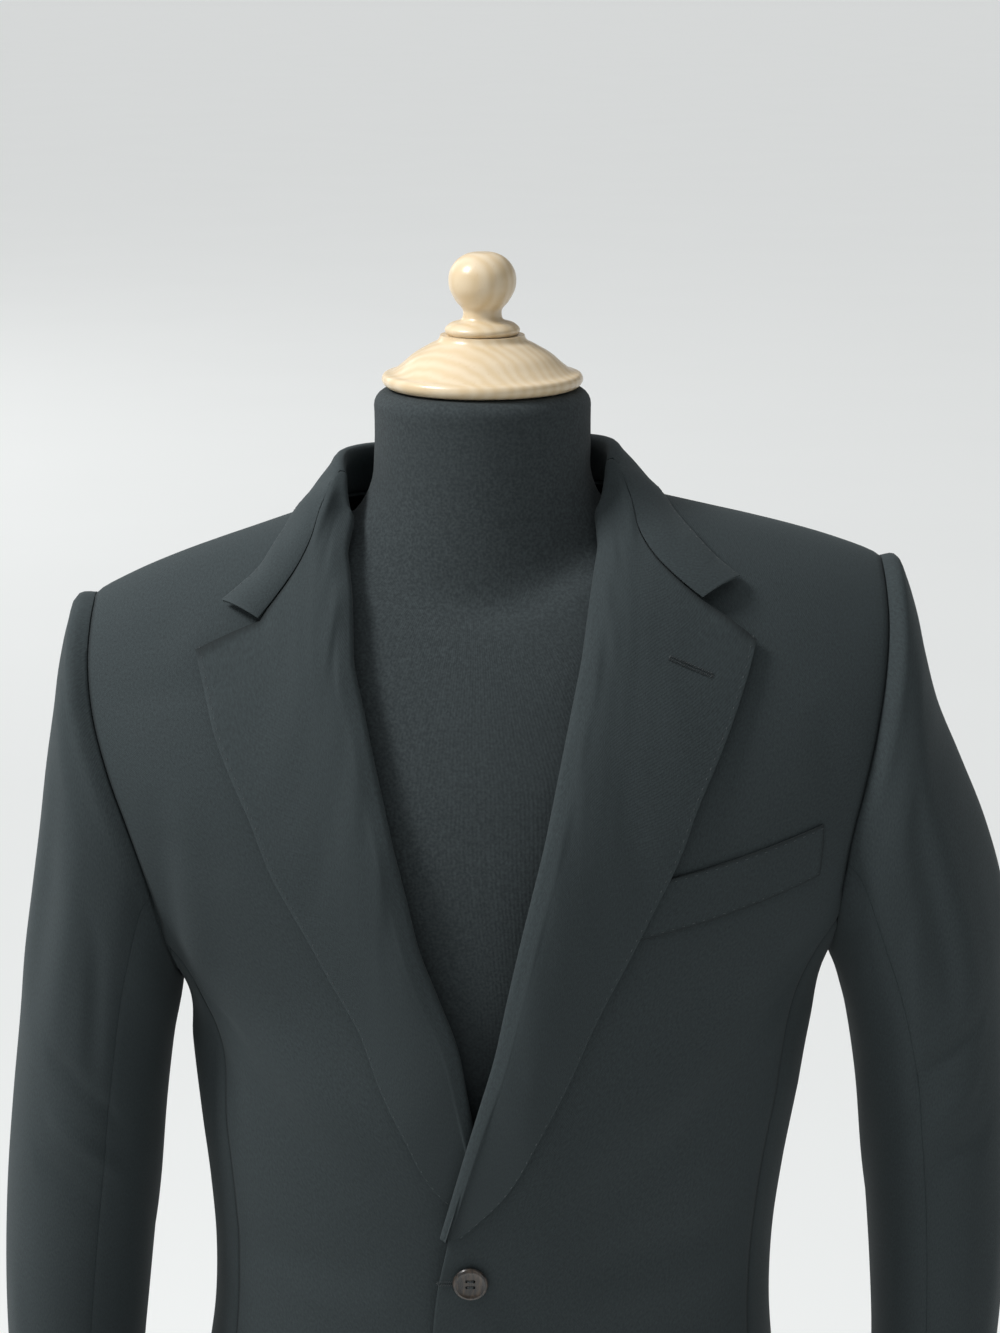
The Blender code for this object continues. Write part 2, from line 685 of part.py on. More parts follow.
def neck_frame(side, angle):
    """The fold over the neck seam: its seat, centre, directions and radius."""
    fold = FOLD_LINE(angle)
    seat = coat_point(side, (angle, 0.0))
    ring = body_point(COAT, side * (angle + 1), 0) - body_point(COAT, side * (angle - 1), 0)
    inward = unit(np.array([-side * ring[1], side * ring[0], 0.0]))
    upright = np.array([0.0, 0.0, 1.0])
    centre = seat + inward * fold.inset + upright * (fold.height - fold.radius)
    return RollFrame(seat, centre, upright, inward, fold.radius, 1.0)


def roll_frames(side):
    """The frames of a lapel's roll from its foot to the collar, with their places."""
    _, high = front_edge_controls(side)
    places = halved(line_places(side, high, ROLL_SHARES))
    seats = halved(np.array([coat_point(side, place) for place in places[::2]]))
    frames = []
    for index, place in enumerate(places):
        before, after = seats[max(index - 1, 0)], seats[min(index + 1, len(seats) - 1)]
        up = body_normal(COAT, side * place[0], place[1])
        inward = unit(np.cross(after - before, up)) * -side
        lift = straight(ROLL, seats[index][2])[0]
        radius = (lift + FACING_GAP) / 2
        centre = seats[index] + inward * ROLL_INSET + up * (lift - radius)
        frames.append(RollFrame(seats[index], centre, up, inward, radius, 0.0))
    flat, start = frames[-1], places[-1][0]
    flat_height = straight(ROLL, flat.seat[2])[0]
    target = FOLD_LINE(GORGE_ANGLE)
    for share in NECK_SHARES:
        angle = start + (GORGE_ANGLE - start) * share
        fold, blend = neck_frame(side, angle), smooth_step(share, 0, 1)
        up = unit(flat.up * (1 - blend) + fold.up * blend)
        inward = unit(flat.inward * (1 - blend) + fold.inward * blend)
        radius = flat.radius * (1 - blend) + target.radius * blend
        height = flat_height * (1 - blend) + target.height * blend
        inset = ROLL_INSET * (1 - blend) + target.inset * blend
        centre = fold.seat + inward * inset + up * (height - radius)
        frames.append(RollFrame(fold.seat, centre, up, inward, radius, share))
        places = np.vstack([places, [angle, 0.0]])
    return frames, places


def lapel_places(side, roll):
    """Places of a lapel between its roll, its free edge and the gorge."""
    name = "left_x" if side == LEFT else "right_x"
    foot_height = coat_point(side, roll[0])[2] + 4
    foot_x = coat_point(side, roll[0])[0] + side * LAPEL_FOOT_WIDTH
    edge = [place_from_front(side, foot_x, foot_height)]
    edge += [place_from_front(side, getattr(row, name), row.height) for row in LAPEL_EDGE]
    edge.append(place_from_front(side, *LAPEL_CORNER[side]))
    right = line_places(side, edge, np.linspace(0, 1, len(roll)))
    gorge = [roll[-1]] + [place_from_front(side, x, z) for x, z in GORGE[side]]
    gorge.append(place_from_front(side, side * NOTCH[0], NOTCH[1]))
    gorge = line_places(side, gorge, np.linspace(0, 1, GORGE_CELLS + 1))
    notch = line_places(side, [gorge[-1], (gorge[-1] + right[-1]) / 2, right[-1]],
                        np.linspace(0, 1, NOTCH_CELLS + 1))
    top = np.vstack([gorge, notch[1:]])
    shares = np.linspace(0, 1, len(top))[:, None]
    bottom = roll[0] * (1 - shares) + right[0] * shares
    return patch(side, bottom, top, roll, right)


def lapel_face(side, frames, places):
    """The lapel's visible face, from the roll to the free edge."""
    grid = []
    for frame, row in zip(frames, places):
        flat = np.array([coat_point(side, place) for place in row])
        reach = np.concatenate([[0], np.cumsum(np.linalg.norm(np.diff(flat, axis=0), axis=1))])
        top = frame.centre + frame.up * frame.radius
        lift, bulge = straight(ROLL, flat[0][2])
        edge_lift = min(LAPEL_EDGE_LIFT, lift + 0.02 * reach[-1])
        points = []
        for place, distance in zip(row, reach):
            share = distance / reach[-1]
            height = (lift * (1 - share) + edge_lift * share
                      + bulge * math.sin(math.pi * share ** 0.6))
            points.append(coat_point(side, place, height))
        rise = top - points[0]
        for index, distance in enumerate(reach):
            fade = max(0.0, 1 - distance / RISE_FADE) ** 1.4
            points[index] = points[index] + rise * fade
        grid.append(points)
    return np.array(grid)


def around(frame, degrees):
    """A point on the roll: 0 on top, 90 at the visible edge and 180 underneath."""
    turn = math.radians(degrees)
    return frame.centre + frame.radius * (frame.up * math.cos(turn)
                                          + frame.inward * math.sin(turn))


def lapel_return(frames):
    """The lapel's cloth round the roll and behind the front: four points for each row."""
    rows = []
    for frame in frames:
        under = frame.centre - frame.up * frame.radius
        end = under - frame.inward * FACING_DEPTH
        inner = frame.centre + frame.inward * frame.radius
        level = inner - frame.up * np.dot(inner - frame.seat, frame.up)
        stand = (level - frame.up, level + frame.up * 2, around(frame, 90), around(frame, 45))
        flat = (end, under, around(frame, 120), around(frame, 60))
        blend = smooth_step(frame.neck, 0, 0.6)
        rows.append([a * (1 - blend) + b * blend for a, b in zip(flat, stand)])
    return np.array(rows)


def outward_from_front(point):
    return np.array([0.0, -1.0, 0.3])


def add_lapel(side, word):
    """One lapel; returns its gorge, which the collar shares."""
    frames, roll = roll_frames(side)
    places = lapel_places(side, roll)
    face = lapel_face(side, frames, places)
    grid = np.concatenate([lapel_return(frames), face], axis=1)
    add_sheet(f"lapel_{word}", trimmed(grid, GORGE_GAP / 2, "t"), outward_from_front, WALL, CLOTH)
    return face[-1, :GORGE_CELLS + 1]


COLLAR_BACK_SHARES = (0, .02, .12, .24, .36, .48, .6, .72, .85, 1)    # gorge to centre back
TIP_SHARE = 0.42                # of the collar's edge that runs from the tip to the gorge's top
STAND_ROWS = 4
FALL_SHARES = (0, .09, .3, .52, .76, 1)


def collar_column(side, angle, edge_place):
    """The collar across one place: up the stand, over the fold and down to its edge."""
    frame = neck_frame(side, angle)
    foot = frame.seat + frame.inward + frame.up * LAYER_GAP
    side_point = around(frame, 90)
    stand = [foot, (foot + side_point) / 2, side_point, around(frame, 45)]
    return stand + collar_fall(side, around(frame, 0), edge_place, around(frame, -48))


def collar_fall(side, start, edge_place, second=None):
    """The fall from the fold or the gorge to the collar's edge."""
    end = coat_point(side, edge_place, COLLAR_EDGE_LIFT)
    normal = body_normal(COAT, side * edge_place[0], edge_place[1])
    points = []
    for share in FALL_SHARES:
        bow = COLLAR_BULGE * 4 * share * (1 - share)
        points.append(start + (end - start) * share + normal * bow)
    if second is not None:
        points[1] = second
    return points


def collar_half(side, gorge):
    """Columns of one half, from the tip at the notch to the centre back."""
    tip = place_from_front(side, side * COLLAR_TIP[0], COLLAR_TIP[1])
    controls = [tip] + [np.array([row.angle, row.down]) for row in COLLAR_EDGE]
    back_shares = np.array(COLLAR_BACK_SHARES)
    shares = np.concatenate([np.linspace(0, TIP_SHARE, GORGE_CELLS + 1)[:-1],
                             TIP_SHARE + (1 - TIP_SHARE) * back_shares])
    edge = line_places(side, controls, shares)
    columns = []
    for index in range(GORGE_CELLS):
        fall = collar_fall(side, gorge[::-1][index], edge[index])
        columns.append([fall[0]] * STAND_ROWS + fall)
    for share, place in zip(back_shares, edge[GORGE_CELLS:]):
        angle = GORGE_ANGLE + (180 - GORGE_ANGLE) * share
        columns.append(collar_column(side, angle, place))
    return columns


def open_corner(columns):
    """Draws the collar back from the lapel along the gorge and at the end of the fold."""
    corner, after = columns[GORGE_CELLS:GORGE_CELLS + 2]
    for row in range(STAND_ROWS + 1):
        corner[row] = corner[row] + unit(after[row] - corner[row]) * GORGE_GAP
    for column in columns[:GORGE_CELLS + 1]:
        start, below = column[STAND_ROWS:STAND_ROWS + 2]
        column[STAND_ROWS] = start + unit(below - start) * GORGE_GAP / 2
    return columns


def add_collar(gorges):
    left = open_corner(collar_half(LEFT, gorges[LEFT]))
    right = open_corner(collar_half(RIGHT, gorges[RIGHT]))
    columns = right + left[::-1][1:]
    grid = np.array(columns).transpose(1, 0, 2)
    kept = np.ones((grid.shape[0] - 1, grid.shape[1] - 1), bool)
    kept[:STAND_ROWS, :GORGE_CELLS] = False
    kept[:STAND_ROWS, -GORGE_CELLS:] = False

    def outward(point):
        return np.array([0.0, 0.3, 1.0])
    add_sheet("collar", grid, outward, WALL, CLOTH, kept)


# --- welt and buttons ------------------------------------------------------------------

def add_welt():
    corners = [place_from_front(LEFT, *corner) for corner in
               (WELT_INNER_LOW, WELT_OUTER_LOW, WELT_INNER_HIGH, WELT_OUTER_HIGH)]
    low = line_places(LEFT, [corners[0], (corners[0] + corners[1]) / 2, corners[1]],
                      np.linspace(0, 1, 11))
    high = line_places(LEFT, [corners[2], (corners[2] + corners[3]) / 2, corners[3]],
                       np.linspace(0, 1, 11))
    grid = np.array([[coat_point(LEFT, low[i] * (1 - s) + high[i] * s, WELT_LIFT + WELT_WALL)
                      for i in range(11)] for s in (0, 0.5, 1)])
    add_sheet("breast_welt", grid, outward_from_front, WELT_WALL, CLOTH)


def add_buttons():
    rim, dish = BUTTON_RADIUS, BUTTON_RADIUS - 2.6
    top = BUTTON_THICKNESS
    profile = ((dish - 1.5, top - 1.1), (dish, top - 0.7), (rim - 1.6, top), (rim - 0.5, top - 0.4),
               (rim, top - 1.3), (rim - 0.5, 0.9), (rim - 2.2, 0.0))
    for word, height in zip(("upper", "lower"), BUTTON_HEIGHTS):
        place = place_from_front(LEFT, CENTRE_X, height)
        seat = settle(coat_point(LEFT, place, BUTTON_LIFT))
        item = add_turned(f"button_{word}", profile, (0, 0), HORN, BUTTON_STEPS)
        normal = body_normal(COAT, place[0], place[1])
        item.location = seat * MM
        item.rotation_mode = "QUATERNION"
        item.rotation_quaternion = Vector(normal).to_track_quat("Z", "Y")


# --- sleeves ---------------------------------------------------------------------------

def sleeve_section(row, turn):
    """A point of a sleeve's section: turn 0 is its outer side, 90 its front."""
    outer = np.array([row.outer_x, 0, row.outer_z])
    inner = np.array([row.inner_x, 0, row.inner_z])
    out = math.cos(math.radians(turn))
    ahead = math.sin(math.radians(turn))
    n = SLEEVE_ROUNDNESS
    reach = (abs(out) ** n + abs(ahead) ** n) ** (-1 / n)
    return ((outer + inner) / 2 + (outer - inner) / 2 * out * reach
            + np.array([0, row.centre_y - row.half_depth * ahead * reach, 0]))


def sleeve_grid(side, start, end):
    """The sleeve between two turns: it leaves the true armhole and eases into its sections."""
    table = Table(SLEEVES[side])
    first, last = math.floor(start / ARMHOLE_STEP), math.ceil(end / ARMHOLE_STEP)
    stops = np.arange(first, last + 1) * ARMHOLE_STEP
    turns = np.array([start, start + SEAM_STEP, *stops[1:-1], end - SEAM_STEP, end])
    ring = np.array([coat_point(side, armhole_place(side, int(stop))) for stop in stops])
    rings = np.column_stack([np.interp(turns, stops, ring[:, axis]) for axis in range(3)])
    offsets = [ring - sleeve_section(table(0), turn) for ring, turn in zip(rings, turns)]
    grid = []
    for share in SLEEVE_SHARES:
        ease = 1 - smooth_step(share, 0, 0.30)
        row = table(share)
        grid.append([sleeve_section(row, turn) + offset * ease
                     for turn, offset in zip(turns, offsets)])
    grid = np.array(grid)
    grid[0, :, 0] += side * SLEEVE_CLEARANCE
    return grid


def add_sleeve(side, word):
    middle = 260.0 * side

    def outward(point):
        return np.array([point[0] - middle, point[1], 0.0])
    top = sleeve_grid(side, SLEEVE_BACK_SEAM - 360, SLEEVE_FRONT_SEAM)
    under = sleeve_grid(side, SLEEVE_FRONT_SEAM, SLEEVE_BACK_SEAM)
    add_sheet(f"top_sleeve_{word}", trimmed(top, sides="lr"), outward, WALL, CLOTH)
    add_sheet(f"under_sleeve_{word}", trimmed(under, sides="lr"), outward, WALL, CLOTH)


# --- dress form and stand --------------------------------------------------------------

def add_form():
    """The padded body: rings from the neck to the foot, closed at both ends."""
    downs = (-78, -55, -38, -25, -14, -4, 5, 18, 38, 60, 85, 110, 130, 150, 172, 195, 220,
             245, 275, 305, 345, 385, 430, 475, 525, 575, 635, 700, 750, 800, 865)
    body = bmesh.new()
    rings = []
    for down in downs:
        ring = [body.verts.new(settle(body_point(FORM, 360 * k / FORM_COLUMNS, down)) * MM)
                for k in range(FORM_COLUMNS)]
        rings.append(ring)
    for upper, lower in zip(rings, rings[1:]):
        for k in range(FORM_COLUMNS):
            after = (k + 1) % FORM_COLUMNS
            body.faces.new((upper[k], lower[k], lower[after], upper[after]))
    body.faces.new(rings[0])
    body.faces.new(rings[-1])
    bmesh.ops.recalc_face_normals(body, faces=body.faces)
    mesh = bpy.data.meshes.new("form_body")
    body.to_mesh(mesh)
    body.free()
    add_object("form_body", mesh, JERSEY)


def add_stand():
    add_turned("neck_cap", CAP_PROFILE, (CAP_X, 0), BEECH)
    add_turned("finial", FINIAL_PROFILE, (CAP_X, 0), BEECH)
    pole_top = FORM_FOOT_Z - SEAM_GAP
    pole_foot = BASE_THICKNESS + SEAM_GAP
    add_turned("pole", ((POLE_RADIUS, pole_top), (POLE_RADIUS, pole_foot)), (0, 0), STEEL)
    rim = BASE_RADIUS
    add_turned("base", ((POLE_RADIUS + 14, BASE_THICKNESS), (rim - 40, BASE_THICKNESS - 6),
                        (rim - 8, BASE_THICKNESS - 12), (rim - 2, BASE_THICKNESS - 15),
                        (rim, BASE_THICKNESS - 19), (rim, 2.0), (rim - 2, 0.0)), (0, 0), STEEL)


def main():
    for item in list(bpy.data.objects):
        bpy.data.objects.remove(item, do_unlink=True)
    collection = bpy.data.collections.new(COLLECTION)
    bpy.context.scene.collection.children.link(collection)
    gorges = {}
    for side, word in ((LEFT, "left"), (RIGHT, "right")):
        add_panels(side, word)
        gorges[side] = add_lapel(side, word)
        add_sleeve(side, word)
    add_collar(gorges)
    add_welt()
    add_buttons()
    add_form()
    add_stand()


main()
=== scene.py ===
import json
import math
from collections import namedtuple

import bmesh
import bpy
import numpy as np
from mathutils import Matrix, Vector

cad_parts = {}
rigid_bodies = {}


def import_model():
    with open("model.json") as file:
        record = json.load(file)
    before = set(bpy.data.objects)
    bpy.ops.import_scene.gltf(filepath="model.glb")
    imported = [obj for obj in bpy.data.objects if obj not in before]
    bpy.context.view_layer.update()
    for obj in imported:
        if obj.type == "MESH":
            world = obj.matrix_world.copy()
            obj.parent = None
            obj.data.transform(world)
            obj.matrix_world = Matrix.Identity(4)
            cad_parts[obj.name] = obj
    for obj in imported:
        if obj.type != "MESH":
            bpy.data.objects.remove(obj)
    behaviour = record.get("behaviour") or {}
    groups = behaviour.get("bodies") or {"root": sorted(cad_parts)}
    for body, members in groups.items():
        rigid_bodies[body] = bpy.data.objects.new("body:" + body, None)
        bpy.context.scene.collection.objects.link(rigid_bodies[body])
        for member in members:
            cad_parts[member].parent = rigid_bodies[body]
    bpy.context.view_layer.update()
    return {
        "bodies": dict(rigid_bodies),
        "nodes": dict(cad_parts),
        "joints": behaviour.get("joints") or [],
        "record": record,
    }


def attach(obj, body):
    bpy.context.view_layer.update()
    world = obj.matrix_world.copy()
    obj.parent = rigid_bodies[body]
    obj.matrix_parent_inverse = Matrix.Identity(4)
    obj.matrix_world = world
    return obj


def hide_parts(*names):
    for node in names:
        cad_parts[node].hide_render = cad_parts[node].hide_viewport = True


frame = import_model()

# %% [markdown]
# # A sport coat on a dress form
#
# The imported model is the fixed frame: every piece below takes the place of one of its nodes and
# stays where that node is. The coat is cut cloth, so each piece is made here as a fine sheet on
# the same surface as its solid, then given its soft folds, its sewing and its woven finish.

MM = 0.001                      # one millimetre in metres
LEFT, RIGHT = 1, -1             # the wearer's sides
SCENE = bpy.context.scene
print("nodes in the frame:", len(frame["nodes"]))

# %% [markdown]
# ## The camera
#
# The photograph looks slightly down at the coat's chest from less than two metres away. The
# focal length is worked out from the image's height, and the camera isn't shifted or rolled.

# %% Camera
PHOTO_HEIGHT = 1333             # pixels
FOCAL_LENGTH = 3090             # pixels
SENSOR = 36                     # millimetres along the picture's height
CAMERA_PLACE = (0.011, -1.752, 1.805)
CAMERA_TILT = 76.5              # degrees up from looking straight down

camera_data = bpy.data.cameras.new("camera")
camera_data.sensor_width = SENSOR
camera_data.lens = FOCAL_LENGTH / PHOTO_HEIGHT * SENSOR
camera = bpy.data.objects.new("camera", camera_data)
camera.location = CAMERA_PLACE
camera.rotation_euler = (math.radians(CAMERA_TILT), 0, 0)
SCENE.collection.objects.link(camera)
SCENE.camera = camera
print("lens in millimetres:", round(camera_data.lens, 2))

# %% [markdown]
# ## Helpers for finishes and light
#
# Colours are picked as hex values, as on a screen, and one function turns them into the linear
# values that a shader works with. One small function adds a node, sets it and links it, so that
# each finish below reads as a short recipe that ends in what is linked to its shader.

# %% Colour and node helpers
RGBA = {"data_type": "RGBA"}    # a Mix node set to colours: its share is input 0, its colours 6, 7
SMOOTH = {"interpolation_type": "SMOOTHSTEP"}


def linear(code):
    """A hex colour as linear red, green, blue and alpha."""
    parts = [int(code[i:i + 2], 16) / 255 for i in (1, 3, 5)]
    return tuple(c / 12.92 if c <= 0.04045 else ((c + 0.055) / 1.055) ** 2.4 for c in parts) + (1.0,)


def add_node(tree, kind, settings=(), inputs=(), output=0):
    """Adds a node. Each input is a value, or an output to link; gives one of its outputs."""
    node = tree.nodes.new(kind)
    for name, value in dict(settings).items():
        setattr(node, name, value)
    for name, value in dict(inputs).items():
        if isinstance(value, bpy.types.NodeSocket):
            tree.links.new(value, node.inputs[name])
        else:
            node.inputs[name].default_value = value
    return node.outputs[output] if node.outputs else None


def new_finish(recipe, name, **constants):
    """A material: constants on the shader's own sockets, and what its recipe gives is linked."""
    finish = bpy.data.materials.new(name)
    finish.use_nodes = True
    shader = finish.node_tree.nodes["Principled BSDF"]
    for key, value in constants.items():
        shader.inputs[key.replace("_", " ")].default_value = value
    for key, output in recipe(finish.node_tree).items():
        finish.node_tree.links.new(output, shader.inputs[key])
    return finish


print("black and white in linear light:", linear("#000000")[0], round(linear("#ffffff")[0], 3))

# %% [markdown]
# ## Light and floor
#
# A pale studio, lit from above: a broad soft light overhead, like a large cloth-covered frame,
# made by a sky that is bright at its top and dimmer at the horizon. One lamp high on the left of
# the picture models the cloth, and another brightens the floor behind on that side. The floor is
# one large pale disc, so that it is the background of every view.

# %% Light and floor
FLOOR_RADIUS = 160.0
FLOOR_SIDES = 96
Lamp = namedtuple("Lamp", "name place aim size power")
LAMPS = (
    Lamp("key light", (-1.6, -0.5, 3.15), (-0.1, 0.0, 1.3), 0.6, 58),
    Lamp("background light", (-5.5, 8.0, 4.0), (-4.0, 8.6, 0.0), 4.0, 115),
)
SKY_COLOUR = (0.985, 0.995, 1.0, 1)
SKY_LOW, SKY_HIGH = 0.10, 1.04  # brightness low down and overhead
SKY_BAND = 0.62                 # added along the horizon, where the walls are pale
SKY_TOP = (-0.30, 0.10, 0.95)   # where the overhead light is centred


def add_lamp(lamp):
    """A square soft light turned towards what it lights."""
    data = bpy.data.lights.new(lamp.name, "AREA")
    data.size, data.energy = lamp.size, lamp.power
    item = bpy.data.objects.new(lamp.name, data)
    item.location = lamp.place
    towards = Vector(lamp.aim) - Vector(lamp.place)
    item.rotation_euler = towards.to_track_quat("-Z", "Y").to_euler()
    SCENE.collection.objects.link(item)


for lamp in LAMPS:
    add_lamp(lamp)
SCENE.view_settings.view_transform = "Standard"
SCENE.world = bpy.data.worlds.new("studio")
SCENE.world.use_nodes = True
sky_tree = SCENE.world.node_tree
upward = add_node(sky_tree, "ShaderNodeTexCoord", output="Generated")
nearness = add_node(sky_tree, "ShaderNodeVectorMath", {"operation": "DOT_PRODUCT"},
                    {0: upward, 1: Vector(SKY_TOP).normalized()}, "Value")
overhead = add_node(sky_tree, "ShaderNodeMapRange", SMOOTH,
                    {0: nearness, 1: 0.25, 2: 0.95, 3: SKY_LOW, 4: SKY_HIGH})
level = add_node(sky_tree, "ShaderNodeSeparateXYZ", {}, {0: upward}, "Z")
walls = add_node(sky_tree, "ShaderNodeMapRange", SMOOTH, {0: level, 1: 0.0, 2: 0.2, 3: SKY_BAND,
                                                          4: 0.0})
brightness = add_node(sky_tree, "ShaderNodeMath", {}, {0: overhead, 1: walls})
sky = sky_tree.nodes["Background"].inputs
sky["Color"].default_value = SKY_COLOUR
sky_tree.links.new(brightness, sky["Strength"])

floor_mesh = bpy.data.meshes.new("studio floor")
disc = bmesh.new()
bmesh.ops.create_circle(disc, cap_ends=True, radius=FLOOR_RADIUS, segments=FLOOR_SIDES)
disc.to_mesh(floor_mesh)
disc.free()
floor = bpy.data.objects.new("studio_floor", floor_mesh)
SCENE.collection.objects.link(floor)
print("lights:", ", ".join(lamp.name for lamp in LAMPS))

# %% [markdown]
# ## Charcoal wool
#
# The coat's cloth is a worsted wool twill, dyed in the fibre: light and dark fibres give it a
# faint melange, and its short nap scatters light at grazing angles, so it looks soft and never
# shiny. The twill's ridges are about 0.5 mm apart. That is finer than a pixel of this picture,
# so they are drawn 1.1 mm apart, shallow. The weave follows the cloth, so it reads the piece's
# own UV map, which is in metres along and across the cut.

# %% Charcoal wool
TWILL_SPACING = 1.1             # millimetres; 0.5 on the real cloth, too fine for a pixel
TWILL_SLOPE = math.radians(27)
FIBRE_LENGTH = 1.3              # millimetres, of one light or dark fleck
CLOUD = 0.16                    # metres, of the slow change in shade over the cloth
WAVES = 0.314                   # a Wave texture of this scale has one wave a metre
# Painted light: free edges a shade paler, partly pressing wear and partly a painted highlight; seams
# darkened by painted shade
EDGE_LIGHTENING_FOR_WEAR_AND_HIGHLIGHT, SEAM_PAINTED_SHADE_DARKNESS = 0.15, 0.75


def wool_recipe(tree):
    """Wool twill: melange, ridges, slow clouding, free edges paler for pressing wear and a painted
    highlight, and painted shade in the seams.
    """
    cloth = add_node(tree, "ShaderNodeTexCoord", output="UV")
    body = add_node(tree, "ShaderNodeTexCoord", output="Object")
    sloped = add_node(tree, "ShaderNodeMapping", {}, {"Vector": cloth,
                                                      "Rotation": (0, 0, TWILL_SLOPE)})
    ridges = add_node(tree, "ShaderNodeTexWave", {"bands_direction": "X"},
                      {"Vector": sloped, "Scale": WAVES / (TWILL_SPACING * MM),
                       "Distortion": 1.6, "Detail": 1.0, "Detail Scale": 1.3}, "Fac")
    combed = add_node(tree, "ShaderNodeMapping", {}, {"Vector": cloth, "Scale": (1.0, 0.6, 1.0)})
    fibres = add_node(tree, "ShaderNodeTexNoise", {},
                      {"Vector": combed, "Scale": 1 / (FIBRE_LENGTH * MM), "Detail": 3.0,
                       "Roughness": 0.62})
    clouds = add_node(tree, "ShaderNodeTexNoise", {}, {"Vector": body, "Scale": 1 / CLOUD,
                                                       "Detail": 2.0})
    light_share = add_node(tree, "ShaderNodeMapRange", {}, {0: fibres, 1: 0.25, 2: 0.8})
    melange = add_node(tree, "ShaderNodeMix", RGBA, {0: light_share, 6: linear("#2a3032"),
                                                     7: linear("#394244")}, 2)
    cloud_share = add_node(tree, "ShaderNodeMapRange", {}, {0: clouds, 1: 0.3, 2: 0.75, 4: 0.24})
    clouded = add_node(tree, "ShaderNodeMix", RGBA, {0: cloud_share, 6: melange,
                                                     7: linear("#2a3032")}, 2)
    # Free edges are mixed towards a paler colour: partly the wear of pressing, partly a painted
    # highlight
    edge = add_node(tree, "ShaderNodeAttribute", {"attribute_name": "edge"}, output="Fac")
    edge_wear_and_highlight = add_node(tree, "ShaderNodeMath", {"operation": "MULTIPLY"}, {0: edge, 1: EDGE_LIGHTENING_FOR_WEAR_AND_HIGHLIGHT})
    worn_and_highlit = add_node(tree, "ShaderNodeMix", RGBA, {0: edge_wear_and_highlight, 6: clouded, 7: linear("#485153")}, 2)
    # Seams are mixed towards near black: painted shade in the groove of the seam
    seam = add_node(tree, "ShaderNodeAttribute", {"attribute_name": "seam"}, output="Fac")
    painted_seam_shade = add_node(tree, "ShaderNodeMath", {"operation": "MULTIPLY"}, {0: seam, 1: SEAM_PAINTED_SHADE_DARKNESS})
    weave = add_node(tree, "ShaderNodeMath", {"operation": "MULTIPLY_ADD"},
                     {0: ridges, 1: 0.55, 2: fibres})
    return {"Base Color": add_node(tree, "ShaderNodeMix", RGBA,
                                   {0: painted_seam_shade, 6: worn_and_highlit, 7: linear("#15191a")}, 2),
            "Roughness": add_node(tree, "ShaderNodeMapRange", {},
                                  {0: clouds, 1: 0.2, 2: 0.8, 3: 0.82, 4: 0.92}),
            "Normal": add_node(tree, "ShaderNodeBump", {}, {"Height": weave,
                                                            "Distance": 0.09 * MM})}


WOOL = new_finish(wool_recipe, "charcoal wool twill", Sheen_Weight=0.08, Sheen_Roughness=0.45,
                  Sheen_Tint=linear("#b9c4c6"), Specular_IOR_Level=0.22, IOR=1.53)
print("twill ridges for each centimetre:", round(10 / TWILL_SPACING))

# %% [markdown]
# ## Thread, horn and jersey
#
# The thread is a mercerised cotton a shade darker than the cloth. Horn is polished, with pale
# streaks deep in the brown. The form's jersey is a matte knit whose columns of loops run down
# the body; they are drawn twice as wide as on the real knit, because those are finer than a
# pixel.

# %% Thread, horn and jersey
KNIT_SPACING = 1.6              # millimetres; 0.8 on the real knit


def thread_recipe(tree):
    place = add_node(tree, "ShaderNodeTexCoord", output="Object")
    twist = add_node(tree, "ShaderNodeTexNoise", {}, {"Vector": place, "Scale": 1400.0,
                                                      "Detail": 1.0})
    return {"Base Color": add_node(tree, "ShaderNodeMix", RGBA,
                                   {0: twist, 6: linear("#202628"), 7: linear("#3a4244")}, 2),
            "Normal": add_node(tree, "ShaderNodeBump", {}, {"Height": twist,
                                                            "Distance": 0.05 * MM})}


def horn_recipe(tree):
    place = add_node(tree, "ShaderNodeTexCoord", output="Object")
    drawn = add_node(tree, "ShaderNodeMapping", {}, {"Vector": place, "Scale": (1.0, 1.0, 0.22)})
    streaks = add_node(tree, "ShaderNodeTexNoise", {}, {"Vector": drawn, "Scale": 420.0,
                                                        "Detail": 4.0, "Distortion": 0.9})
    pale = add_node(tree, "ShaderNodeMapRange", {}, {0: streaks, 1: 0.42, 2: 0.72})
    return {"Base Color": add_node(tree, "ShaderNodeMix", RGBA,
                                   {0: pale, 6: linear("#171412"), 7: linear("#4c3f33")}, 2),
            "Roughness": add_node(tree, "ShaderNodeMapRange", {},
                                  {0: streaks, 1: 0.3, 2: 0.7, 3: 0.24, 4: 0.36}),
            "Normal": add_node(tree, "ShaderNodeBump", {}, {"Height": streaks,
                                                            "Distance": 0.03 * MM})}


